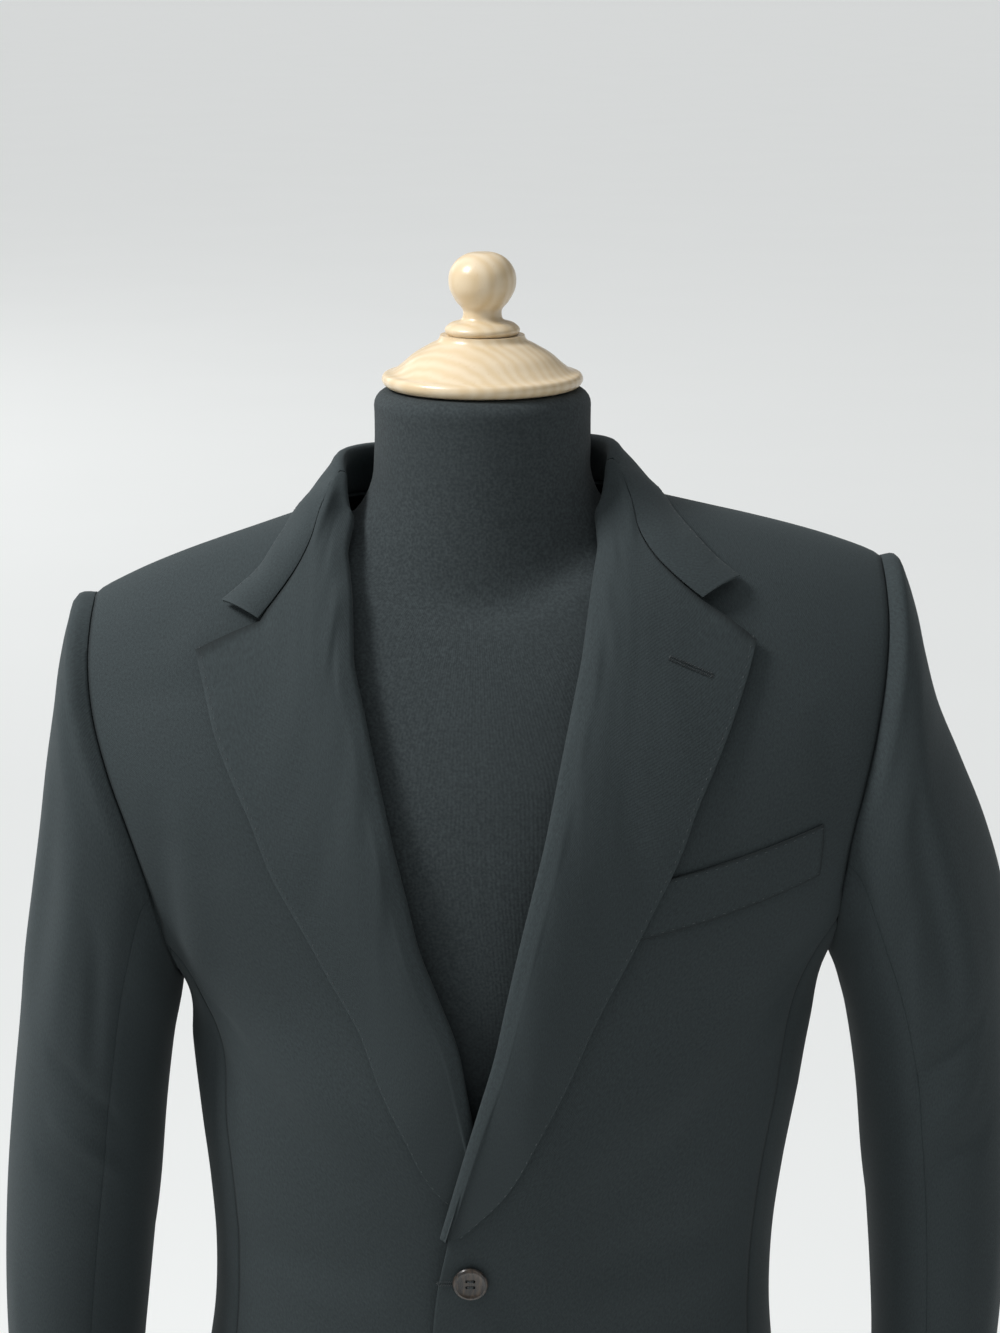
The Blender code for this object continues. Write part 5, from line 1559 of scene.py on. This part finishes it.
# %% Sleeves
TURN_MM, SLEEVE_LENGTH = 0.95, 620.0        # a degree of turn, and the sleeve's whole length
SleeveFold = namedtuple("SleeveFold", "turn0 share0 turn1 share1 width height")
SLEEVE_FOLDS = {
    LEFT: (
        SleeveFold(52, .12, 66, .52, 9, 2.2), SleeveFold(72, .16, 84, .46, 8, -2.4),
        SleeveFold(24, .20, 36, .62, 13, -1.6), SleeveFold(96, .26, 112, .44, 8, 1.8),
        SleeveFold(60, .50, 120, .44, 9, -3.0), SleeveFold(66, .56, 130, .50, 9, 2.6),
        SleeveFold(58, .62, 118, .57, 9, -2.6), SleeveFold(-40, .14, -52, .55, 14, 1.8),
        SleeveFold(-70, .20, -84, .60, 12, -1.9), SleeveFold(-60, .62, -20, .78, 14, 1.8),
        SleeveFold(40, .70, 62, .96, 12, 1.5), SleeveFold(160, .34, 190, .58, 12, 2.0),
    ),
    RIGHT: (
        SleeveFold(30, .18, 22, .50, 8, 2.2), SleeveFold(46, .14, 40, .50, 9, -1.9),
        SleeveFold(70, .12, 62, .48, 10, 1.8), SleeveFold(92, .20, 98, .44, 8, -2.0),
        SleeveFold(58, .48, 124, .43, 9, -2.8), SleeveFold(64, .55, 128, .50, 9, 2.6),
        SleeveFold(54, .61, 116, .57, 9, -2.4), SleeveFold(-42, .16, -50, .58, 14, 1.8),
        SleeveFold(-72, .22, -82, .62, 12, -1.8), SleeveFold(-58, .62, -24, .80, 14, 1.7),
        SleeveFold(36, .72, 60, .95, 12, 1.4), SleeveFold(165, .36, 188, .60, 12, 1.9),
    ),
}
HEAD_ROLL, HEAD_ROLL_AT, HEAD_ROLL_WIDTH = 2.0, 10.0, 7.5
HEAD_DROP, HEAD_DROP_WIDTH = 1.1, 3.2
TURN_DOWN, TURN_UNDER = 2.3, 3.0           # the sleeve's edge, turned in at the armhole


def sleeve_folds(fine, turns, shares, side, away):
    """The sleeve with its folds, its rolled head and the ease taken up in it."""
    seen = np.stack(np.broadcast_arrays(turns[None, :] * TURN_MM,
                                        shares[:, None] * SLEEVE_LENGTH), axis=-1)
    height = np.zeros(seen.shape[:2])
    for fold in SLEEVE_FOLDS[side]:
        flat = Fold(fold.turn0 * TURN_MM, fold.share0 * SLEEVE_LENGTH,
                    fold.turn1 * TURN_MM, fold.share1 * SLEEVE_LENGTH, fold.width, fold.height)
        for lap in (0, 360 * TURN_MM, -360 * TURN_MM):
            height += fold_height(seen + (lap, 0), [flat])
    down = fine.down[:, None]
    head = np.clip(np.cos(np.radians(turns)) + 0.35, 0, 1)[None, :]
    ease = 0.22 * np.sin(turns * 0.33 + np.sin(turns * 0.11) * 1.7)[None, :]
    height += head * (HEAD_ROLL + ease) * np.exp(-((down - HEAD_ROLL_AT) / HEAD_ROLL_WIDTH) ** 2)
    height -= HEAD_DROP * np.exp(-(down / HEAD_DROP_WIDTH) ** 2)
    return fine._replace(points=fine.points + away * height[..., None])


def turned_in(fine, away, side):
    """The sleeve's edge goes down beside the armhole and lies under the body's edge."""
    down = fine.points[0] - away[0] * TURN_DOWN
    under = down - away[0] * 0.4 - (side * TURN_UNDER, 0, 0)
    points = np.concatenate([[under], [down], fine.points])
    reach = np.concatenate([[0, TURN_UNDER], fine.down + TURN_UNDER + TURN_DOWN])
    return Fine(points, reach, fine.across)


def add_sleeve(side, word):
    middle = 260.0 * side

    def outward(point):
        return np.array([point[0] - middle, point[1], 0.0])
    turns = {"top_sleeve": (SLEEVE_BACK_SEAM - 360, SLEEVE_FRONT_SEAM),
             "under_sleeve": (SLEEVE_FRONT_SEAM, SLEEVE_BACK_SEAM)}
    grids = {kind: trimmed(sleeve_grid(side, *ends), SEWN_GAP, "lr") for kind, ends in turns.items()}
    spine = np.concatenate(list(grids.values()), axis=1).mean(axis=1)
    for kind, grid in grids.items():
        fine = refined(grid)
        stops = mean_reach(grid, 0)
        turn = np.interp(fine.across, (0, fine.across[-1]), turns[kind])
        share = np.interp(fine.down, stops, SLEEVE_SHARES)
        middle_line = np.column_stack([np.interp(fine.down, stops, line) for line in spine.T])
        away = fine.points - middle_line[:, None]
        away /= np.linalg.norm(away, axis=-1)[..., None]
        fine = sleeve_folds(fine, turn, share, side, away)
        fine = turned_in(rolled_in(fine, away, "lr", SEAM_DEPTH), away, side)
        item = cloth_piece(f"{kind}_{word}_cloth", fine, outward, "t")
        on_the_body(item, f"{kind}_{word}")
        declare(item, fine)


for side, word in ((LEFT, "left"), (RIGHT, "right")):
    add_sleeve(side, word)

# %% [markdown]
# ## The dress form
#
# The form is a padded body covered in jersey. Its rings follow the coat's, set further in, and
# it is drawn finer than its solid so that its neck reads round.

# %% Form body
FORM_LEVELS = (
    Level(-78,  62,   1,  1548, 62,  1548, 58,  1548, 2.0),    # top of the neck
    Level(-45,  62,   1,  1516, 61,  1512, 57,  1516, 2.0),
    Level(-18,  64,   0,  1494, 60,  1470, 56,  1492, 2.0),
    Level(0,    72,  -1,  1480, 61,  1440, 59,  1470, 2.1),
    Level(30,   100,  0,  1473, 76,  1418, 73,  1456, 2.0),
    Level(60,   132,  1,  1468.9, 89, 1396, 81, 1441, 1.85),
    Level(110,  178,  2,  1455.4, 104, 1364, 93, 1412, 1.68),
    Level(150,  206,  4,  1434, 112, 1340, 102, 1389, 1.75),
    Level(195,  214,  4,  1402, 117, 1314, 109, 1358, 1.9),
    Level(245,  206,  5,  1358, 120, 1288, 112, 1322, 2.0),
    Level(305,  192,  8,  1298, 121, 1252, 114, 1276, 2.0),
    Level(385,  175,  12, 1206, 121, 1198, 113, 1203, 2.1),
    Level(470,  163,  10, 1120, 118, 1116, 104, 1119, 2.1),
    Level(570,  154,  7,  1020, 108, 1018, 86,  1020, 2.2),
    Level(700,  172,  3,  890,  112, 889,  104, 890,  2.2),
    Level(790,  178,  1,  800,  114, 800,  108, 800,  2.2),
    Level(865,  176,  1,  725,  112, 725,  107, 725,  2.2),
)
FORM = Table(FORM_LEVELS)
FORM_SIDES, FORM_STEP = 120, 6.0
FORM_TOP, FORM_FOOT = -78, 865
NECK_ROUND = 9.0                # the padded neck's soft top edge


def soft_neck(ring):
    """The rings of the neck's rounded top edge, from a small one down to the full one."""
    middle = ring.mean(axis=0)
    radius = np.linalg.norm(ring - middle, axis=1).mean()
    rings = []
    for turn in np.radians((90, 75, 60, 45, 30, 15, 0)):
        share = (radius - NECK_ROUND * (1 - math.cos(turn))) / radius
        down = NECK_ROUND * (1 - math.sin(turn))
        rings.append(middle + (ring - middle) * (share, share, 1) - (0, 0, down))
    return np.array(rings)


def add_form():
    downs = np.arange(FORM_TOP, FORM_FOOT + 1, FORM_STEP)
    downs[-1] = FORM_FOOT
    angles = np.linspace(0, 360, FORM_SIDES + 1)[:-1]
    rings = np.array([[settle(body_point(FORM, a, d)) for a in angles] for d in downs])
    rings = np.concatenate([soft_neck(rings[0]), rings[2:]])
    body = bmesh.new()
    layer = body.loops.layers.uv.new("UVMap")
    verts = [[body.verts.new(p * MM) for p in ring] for ring in rings]
    for row, (upper, lower) in enumerate(zip(verts, verts[1:])):
        for k in range(FORM_SIDES):
            after = (k + 1) % FORM_SIDES
            face = body.faces.new((upper[k], lower[k], lower[after], upper[after]))
            girth = 0.9 / FORM_SIDES
            for loop, (u, v) in zip(face.loops, ((k, row), (k, row + 1), (k + 1, row + 1),
                                                 (k + 1, row))):
                loop[layer].uv = (u * girth, -v * FORM_STEP * MM)
    body.faces.new(verts[0][::-1])
    body.faces.new(verts[-1])
    bmesh.ops.recalc_face_normals(body, faces=body.faces)
    mesh = bpy.data.meshes.new("form_body_jersey")
    body.to_mesh(mesh)
    body.free()
    finish_solid("form_body_jersey", mesh, JERSEY, "form_body")


def finish_solid(name, mesh, finish, node, sharp=35):
    """A closed piece, smooth but for its real edges."""
    for polygon in mesh.polygons:
        polygon.use_smooth = True
    mesh.set_sharp_from_angle(angle=math.radians(sharp))
    mesh.materials.append(finish)
    item = bpy.data.objects.new(name, mesh)
    SCENE.collection.objects.link(item)
    on_the_body(item, node)
    print(f"{name}: {len(mesh.polygons)} faces")
    return item


add_form()

# %% [markdown]
# ## Turned pieces
#
# The neck cap and the finial are turned on a lathe, and so are the pole and the base. A profile
# down the outer side is swept round the axis. The wood's profile is read smoothly, so it has no
# facets.

# %% Turned pieces
BASE_RADIUS = 180.0
BASE_THICKNESS = 26.0
POLE_RADIUS = 16.0
FORM_FOOT_Z = 725.0
CAP_PROFILE = (                 # from the top of the cap down to its underside
    (24.0, 1578.5), (25.0, 1576.0), (30.0, 1573.0), (40.0, 1567.0), (47.0, 1561.0),
    (52.0, 1557.5), (56.5, 1556.0), (57.5, 1553.5), (56.5, 1551.0), (52.0, 1548.6),
)
FINIAL_PROFILE = (
    (6.0, 1625.0), (13.0, 1622.0), (18.5, 1614.5), (19.0, 1606.0), (15.0, 1597.5),
    (11.0, 1592.0), (11.5, 1588.0), (19.0, 1584.5), (21.5, 1581.5), (20.0, 1578.8),
)
CAP_X = 1.0
LATHE_SIDES = 128
PROFILE_STEP = 1.2


def smooth_profile(profile):
    """A profile read smoothly between its points."""
    points = np.array(profile, float)
    reach = np.concatenate([[0], np.cumsum(np.linalg.norm(np.diff(points, axis=0), axis=1))])
    wanted = np.linspace(0, reach[-1], math.ceil(reach[-1] / PROFILE_STEP))
    return read_smoothly(points[:, None, :], reach, wanted)[:, 0]


def lathe(profile, centre=(0.0, 0.0), sides=LATHE_SIDES):
    """A closed turned mesh from a profile of radius and height, from the top down."""
    body = bmesh.new()
    angles = np.linspace(0, 2 * math.pi, sides + 1)[:-1]
    rings = [[body.verts.new(((centre[0] + r * math.cos(a)) * MM,
                              (centre[1] + r * math.sin(a)) * MM, z * MM)) for a in angles]
             for r, z in profile]
    for upper, lower in zip(rings, rings[1:]):
        for k in range(sides):
            after = (k + 1) % sides
            body.faces.new((upper[k], lower[k], lower[after], upper[after]))
    for ring, height in ((rings[0], profile[0][1]), (rings[-1], profile[-1][1])):
        middle = body.verts.new((centre[0] * MM, centre[1] * MM, height * MM))
        for k in range(sides):
            body.faces.new((ring[k], ring[(k + 1) % sides], middle))
    bmesh.ops.recalc_face_normals(body, faces=body.faces)
    mesh = bpy.data.meshes.new("turned")
    body.to_mesh(mesh)
    body.free()
    return mesh


rim = BASE_RADIUS
BASE_PROFILE = ((POLE_RADIUS + 14, BASE_THICKNESS), (rim - 40, BASE_THICKNESS - 6),
                (rim - 8, BASE_THICKNESS - 12), (rim - 2, BASE_THICKNESS - 15),
                (rim - 0.4, BASE_THICKNESS - 17), (rim, BASE_THICKNESS - 19), (rim, 2.0),
                (rim - 0.6, 0.6), (rim - 2, 0.0))
POLE_PROFILE = ((POLE_RADIUS, FORM_FOOT_Z - SEAM_GAP), (POLE_RADIUS, BASE_THICKNESS + SEAM_GAP))
for name, profile, x, finish, slot in (
        ("neck_cap", smooth_profile(CAP_PROFILE), CAP_X, BEECH, "beech"),
        ("finial", smooth_profile(FINIAL_PROFILE), CAP_X, BEECH, "beech"),
        ("pole", POLE_PROFILE, 0, STEEL, "steel"),
        ("base", BASE_PROFILE, 0, STEEL, "steel")):
    finish_solid(f"{name}_turned", lathe(profile, (x, 0)), finish, name)

# %% [markdown]
# ## Buttons
#
# A horn button is turned with a raised rim and a dished middle, then drilled with four holes.
# The holes are cut by a Boolean, and the button is placed square to the cloth on a short shank.

# %% Buttons
BUTTON_RADIUS = 10.0
BUTTON_THICKNESS = 3.6
BUTTON_LIFT = 0.8               # the length of its thread shank
BUTTON_HEIGHTS = (1058.0, 958.0)
HOLE_RADIUS, HOLE_SPREAD = 0.95, 1.9
HOLE_SIDES = 20


def drilled_button():
    """A button at the origin, facing up, with its four holes."""
    dish, top = BUTTON_RADIUS - 2.6, BUTTON_THICKNESS
    rim = BUTTON_RADIUS
    profile = ((dish - 1.5, top - 1.1), (dish, top - 0.7), (rim - 1.6, top), (rim - 0.5, top - 0.4),
               (rim, top - 1.3), (rim - 0.5, 0.9), (rim - 2.2, 0.0))
    button = bpy.data.objects.new("button blank", lathe(profile, sides=64))
    drill_mesh = bpy.data.meshes.new("drill")
    drill_body = bmesh.new()
    for x in (-1, 1):
        for y in (-1, 1):
            place = Matrix.Translation((x * HOLE_SPREAD * MM, y * HOLE_SPREAD * MM,
                                        BUTTON_THICKNESS / 2 * MM))
            bmesh.ops.create_cone(drill_body, cap_ends=True, segments=HOLE_SIDES,
                                  radius1=HOLE_RADIUS * MM, radius2=HOLE_RADIUS * MM,
                                  depth=3 * BUTTON_THICKNESS * MM, matrix=place)
    drill_body.to_mesh(drill_mesh)
    drill_body.free()
    drill = bpy.data.objects.new("drill", drill_mesh)
    for item in (button, drill):
        SCENE.collection.objects.link(item)
    cut = button.modifiers.new("holes", "BOOLEAN")
    cut.operation, cut.object, cut.solver = "DIFFERENCE", drill, "EXACT"
    mesh = bpy.data.meshes.new_from_object(button.evaluated_get(
        bpy.context.evaluated_depsgraph_get()))
    for item in (button, drill):
        bpy.data.objects.remove(item)
    return mesh


button_places = {}
for word, height in zip(("upper", "lower"), BUTTON_HEIGHTS):
    place = place_from_front(LEFT, CENTRE_X, height)
    seat = settle(coat_point(LEFT, place, BUTTON_LIFT))
    turn = Vector(body_normal(COAT, *place)).to_track_quat("Z", "Y").to_matrix().to_4x4()
    button_places[word] = Matrix.Translation(Vector(seat * MM)) @ turn
    mesh = drilled_button()
    mesh.transform(button_places[word])
    finish_solid(f"button_{word}_horn", mesh, HORN, f"button_{word}", 30)

# %% [markdown]
# ## Sewing
#
# Stitches repeat along a line, so Geometry Nodes makes them. The line is cut into even lengths,
# a stitch is set on each point along the line's direction, and the result is made real mesh. The
# free edges have the fine pick stitch of a tailored coat, a prick of thread every 6 mm.

# %% Stitch trees
PICK_SPACING, PICK_LENGTH, PICK_THICKNESS = 6.0, 1.6, 0.42
PURL_THICKNESS = 0.45


def stitch_tree():
    """Geometry nodes: stitches along a line, then one real mesh."""
    tree = bpy.data.node_groups.new("stitches along a line", "GeometryNodeTree")
    tree.interface.new_socket("Line", in_out="INPUT", socket_type="NodeSocketGeometry")
    for name, value in (("Spacing", 0.006), ("Length", 0.0016), ("Thickness", 0.0004)):
        socket = tree.interface.new_socket(name, in_out="INPUT", socket_type="NodeSocketFloat")
        socket.default_value = value
    seed = tree.interface.new_socket("Seed", in_out="INPUT", socket_type="NodeSocketInt")
    seed.default_value = 7
    tree.interface.new_socket("Thread", in_out="OUTPUT", socket_type="NodeSocketGeometry")
    add_node(tree, "NodeGroupInput")
    given = tree.nodes[-1].outputs
    curve = add_node(tree, "GeometryNodeMeshToCurve", {}, {0: given["Line"]})
    points = add_node(tree, "GeometryNodeResampleCurve", {"mode": "LENGTH"},
                      {"Curve": curve, "Length": given["Spacing"]})
    tangent = add_node(tree, "GeometryNodeInputTangent")
    turned = add_node(tree, "FunctionNodeAlignRotationToVector", {"axis": "X"},
                      {"Vector": tangent})
    jitter = add_node(tree, "FunctionNodeRandomValue", {"data_type": "FLOAT"},
                      {2: 0.85, 3: 1.15, "Seed": given["Seed"]}, 1)
    bead = add_node(tree, "GeometryNodeMeshIcoSphere", {}, {"Radius": 0.5, "Subdivisions": 2})
    length = add_node(tree, "ShaderNodeMath", {"operation": "MULTIPLY"},
                      {0: given["Length"], 1: jitter})
    size = add_node(tree, "ShaderNodeCombineXYZ", {}, {0: length, 1: given["Thickness"],
                                                       2: given["Thickness"]})
    placed = add_node(tree, "GeometryNodeInstanceOnPoints", {},
                      {"Points": points, "Instance": bead, "Rotation": turned, "Scale": size})
    real = add_node(tree, "GeometryNodeRealizeInstances", {}, {0: placed})
    smooth = add_node(tree, "GeometryNodeSetShadeSmooth", {}, {0: real})
    done = add_node(tree, "GeometryNodeSetMaterial", {}, {0: smooth, "Material": THREAD})
    add_node(tree, "NodeGroupOutput", {}, {0: done})
    return tree


def cord_tree():
    """Geometry nodes: one round thread that follows a line."""
    tree = bpy.data.node_groups.new("thread along a line", "GeometryNodeTree")
    tree.interface.new_socket("Line", in_out="INPUT", socket_type="NodeSocketGeometry")
    socket = tree.interface.new_socket("Thickness", in_out="INPUT", socket_type="NodeSocketFloat")
    socket.default_value = 0.0005
    tree.interface.new_socket("Thread", in_out="OUTPUT", socket_type="NodeSocketGeometry")
    add_node(tree, "NodeGroupInput")
    given = tree.nodes[-1].outputs
    curve = add_node(tree, "GeometryNodeMeshToCurve", {}, {0: given["Line"]})
    half = add_node(tree, "ShaderNodeMath", {"operation": "MULTIPLY"},
                    {0: given["Thickness"], 1: 0.5})
    ring = add_node(tree, "GeometryNodeCurvePrimitiveCircle", {}, {"Resolution": 6,
                                                                   "Radius": half})
    tube = add_node(tree, "GeometryNodeCurveToMesh", {}, {"Curve": curve, "Profile Curve": ring,
                                                          "Fill Caps": True})
    real = add_node(tree, "GeometryNodeRealizeInstances", {}, {0: tube})
    smooth = add_node(tree, "GeometryNodeSetShadeSmooth", {}, {0: real})
    done = add_node(tree, "GeometryNodeSetMaterial", {}, {0: smooth, "Material": THREAD})
    add_node(tree, "NodeGroupOutput", {}, {0: done})
    return tree


STITCHES, CORD = stitch_tree(), cord_tree()


def sewn(name, lines, tree, **sizes):
    """Thread made by a tree along one or more lines, as a plain mesh that rides on the body."""
    points = [tuple(p * MM) for line in lines for p in line]
    edges, start = [], 0
    for line in lines:
        edges += [(start + k, start + k + 1) for k in range(len(line) - 1)]
        start += len(line)
    path = bpy.data.meshes.new(name)
    path.from_pydata(points, edges, [])
    item = bpy.data.objects.new(name, path)
    SCENE.collection.objects.link(item)
    maker = item.modifiers.new("sewing", "NODES")
    maker.node_group = tree
    sockets = {s.name: s.identifier for s in tree.interface.items_tree if s.in_out == "INPUT"}
    for key, value in sizes.items():
        maker[sockets[key]] = value
    graph = bpy.context.evaluated_depsgraph_get()
    item.data = bpy.data.meshes.new_from_object(item.evaluated_get(graph))
    item.modifiers.clear()
    if not item.data.materials:
        item.data.materials.append(THREAD)
    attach(item, "root")
    print(f"{name}: {len(item.data.polygons)} faces")
    return item

# %% [markdown]
# The pick stitches run beside the free edges of the lapels, the collar, the fronts and the welt.

# %% Pick stitches
PICK_INSET, PICK_LIFT = 2.2, 0.05


def beside_edge(fine, side, outward, start=0.0, end=1.0):
    """A line on the outer side, a little in from one edge of a grid."""
    points = {"l": fine.points.transpose(1, 0, 2), "r": fine.points.transpose(1, 0, 2)[::-1],
              "b": fine.points, "t": fine.points[::-1]}[side]
    reach = {"l": fine.across, "r": fine.across[-1] - fine.across[::-1],
             "b": fine.down, "t": fine.down[-1] - fine.down[::-1]}[side]
    row = int(np.searchsorted(reach, PICK_INSET))
    share = (PICK_INSET - reach[row - 1]) / (reach[row] - reach[row - 1])
    line = points[row - 1] * (1 - share) + points[row] * share
    normal = outward_normals(points, outward)[row]
    line = line + normal * PICK_LIFT
    first, last = int(len(line) * start), int(len(line) * end)
    return vector_settle(line[first:last])


def collar_out(point):
    return np.array([0.0, 0.3, 1.0])


pick = {"Spacing": PICK_SPACING * MM, "Length": PICK_LENGTH * MM,
        "Thickness": PICK_THICKNESS * MM, "Seed": 7}
for side, word in ((LEFT, "left"), (RIGHT, "right")):
    sewn(f"pick_stitch_lapel_{word}", [beside_edge(made["lapel", side], "r", outward_from_front)],
         STITCHES, **pick)
    sewn(f"pick_stitch_front_{word}",
         [beside_edge(made["front", side], "l", outward_from_front, 0.0, 0.42)], STITCHES, **pick)
sewn("pick_stitch_collar", [beside_edge(made["collar"], "t", collar_out, 0.01, 0.99)],
     STITCHES, **pick)
sewn("pick_stitch_welt", [beside_edge(made["welt"], "t", outward_from_front, 0.01, 0.99),
                          beside_edge(made["welt"], "b", outward_from_front, 0.01, 0.99)],
     STITCHES, **pick)

# %% [markdown]
# ## Buttonholes and button thread
#
# A buttonhole is a slit bound all round by close stitches. The thread goes to and fro across the
# bound edge, so the line is a zigzag round the slit. The buttons are held by two bars of thread
# through their holes.

# %% Buttonholes
HOLE_BAND, PURL_STEP = 1.5, 0.62


def zigzag(start, end, normal):
    """A purled edge round the slit between two points."""
    along = unit(end - start)
    across = np.cross(normal, along)
    length = np.linalg.norm(end - start)
    count = int(length / PURL_STEP)
    line = []
    for k in range(count):
        line.append(start + along * k * PURL_STEP + across * (0.35 if k % 2 else HOLE_BAND))
    for k in range(9):
        turn = math.pi * k / 8
        reach = 0.5 if k % 2 else HOLE_BAND
        line.append(end + along * math.sin(turn) * reach + across * math.cos(turn) * reach)
    for k in range(count, 0, -1):
        line.append(start + along * k * PURL_STEP - across * (0.35 if k % 2 else HOLE_BAND))
    for reach in (-HOLE_BAND, 0.0, HOLE_BAND):
        line.append(start - along * 0.3 + across * reach)
    return np.array(line)


LAPEL_HOLE = ((105, 1406), (127, 1396))
LAPEL_LIFT = 0.15
lapel_points = made["lapel", LEFT].points
lapel_normals = outward_normals(lapel_points, outward_from_front)


def on_lapel(x, height):
    """The point and the normal of the left lapel's face that is seen at x and height."""
    near = np.hypot(lapel_points[..., 0] - x, lapel_points[..., 2] - height)
    near[:, :8] = np.inf
    row, column = np.unravel_index(near.argmin(), near.shape)
    return lapel_points[row, column], lapel_normals[row, column]


(first, normal), (second, _) = (on_lapel(*end) for end in LAPEL_HOLE)
line = zigzag(first, second, normal) + normal * LAPEL_LIFT
sewn("lapel_buttonhole", [vector_settle(line)], CORD, Thickness=PURL_THICKNESS * MM)

FRONT_HOLE = (-2.0, 22.0)       # from the button's centre towards the wearer's left, in mm
for word, height in zip(("upper", "lower"), BUTTON_HEIGHTS):
    ends = []
    for out in FRONT_HOLE:
        place = place_from_front(LEFT, CENTRE_X - out * 0.8, height - 1)
        ends.append((coat_point(LEFT, place, 0.2), body_normal(COAT, *place)))
    line = zigzag(ends[0][0], ends[1][0], ends[0][1])
    sewn(f"front_buttonhole_{word}", [vector_settle(line)], CORD, Thickness=PURL_THICKNESS * MM)

# %% Button thread
THREAD_RISE = 0.35
BAR_STEPS = 12


def thread_bars(matrix):
    """Two bars of thread through a button's holes, each of two strands."""
    lines = []
    floor_z = BUTTON_THICKNESS - 1.1
    for y in (-1, 1):
        for strand in (-0.28, 0.28):
            bar = []
            for k in range(BAR_STEPS + 1):
                share = k / BAR_STEPS
                x = (share * 2 - 1) * (HOLE_SPREAD + 0.2)
                z = floor_z + THREAD_RISE - 1.6 * max(0.0, abs(share * 2 - 1) - 0.75) * 4
                local = Vector((x, y * HOLE_SPREAD + strand, z)) * MM
                bar.append(np.array(matrix @ local) / MM)
            lines.append(bar)
    return lines


for word, matrix in button_places.items():
    sewn(f"button_thread_{word}", thread_bars(matrix), CORD, Thickness=0.5 * MM)
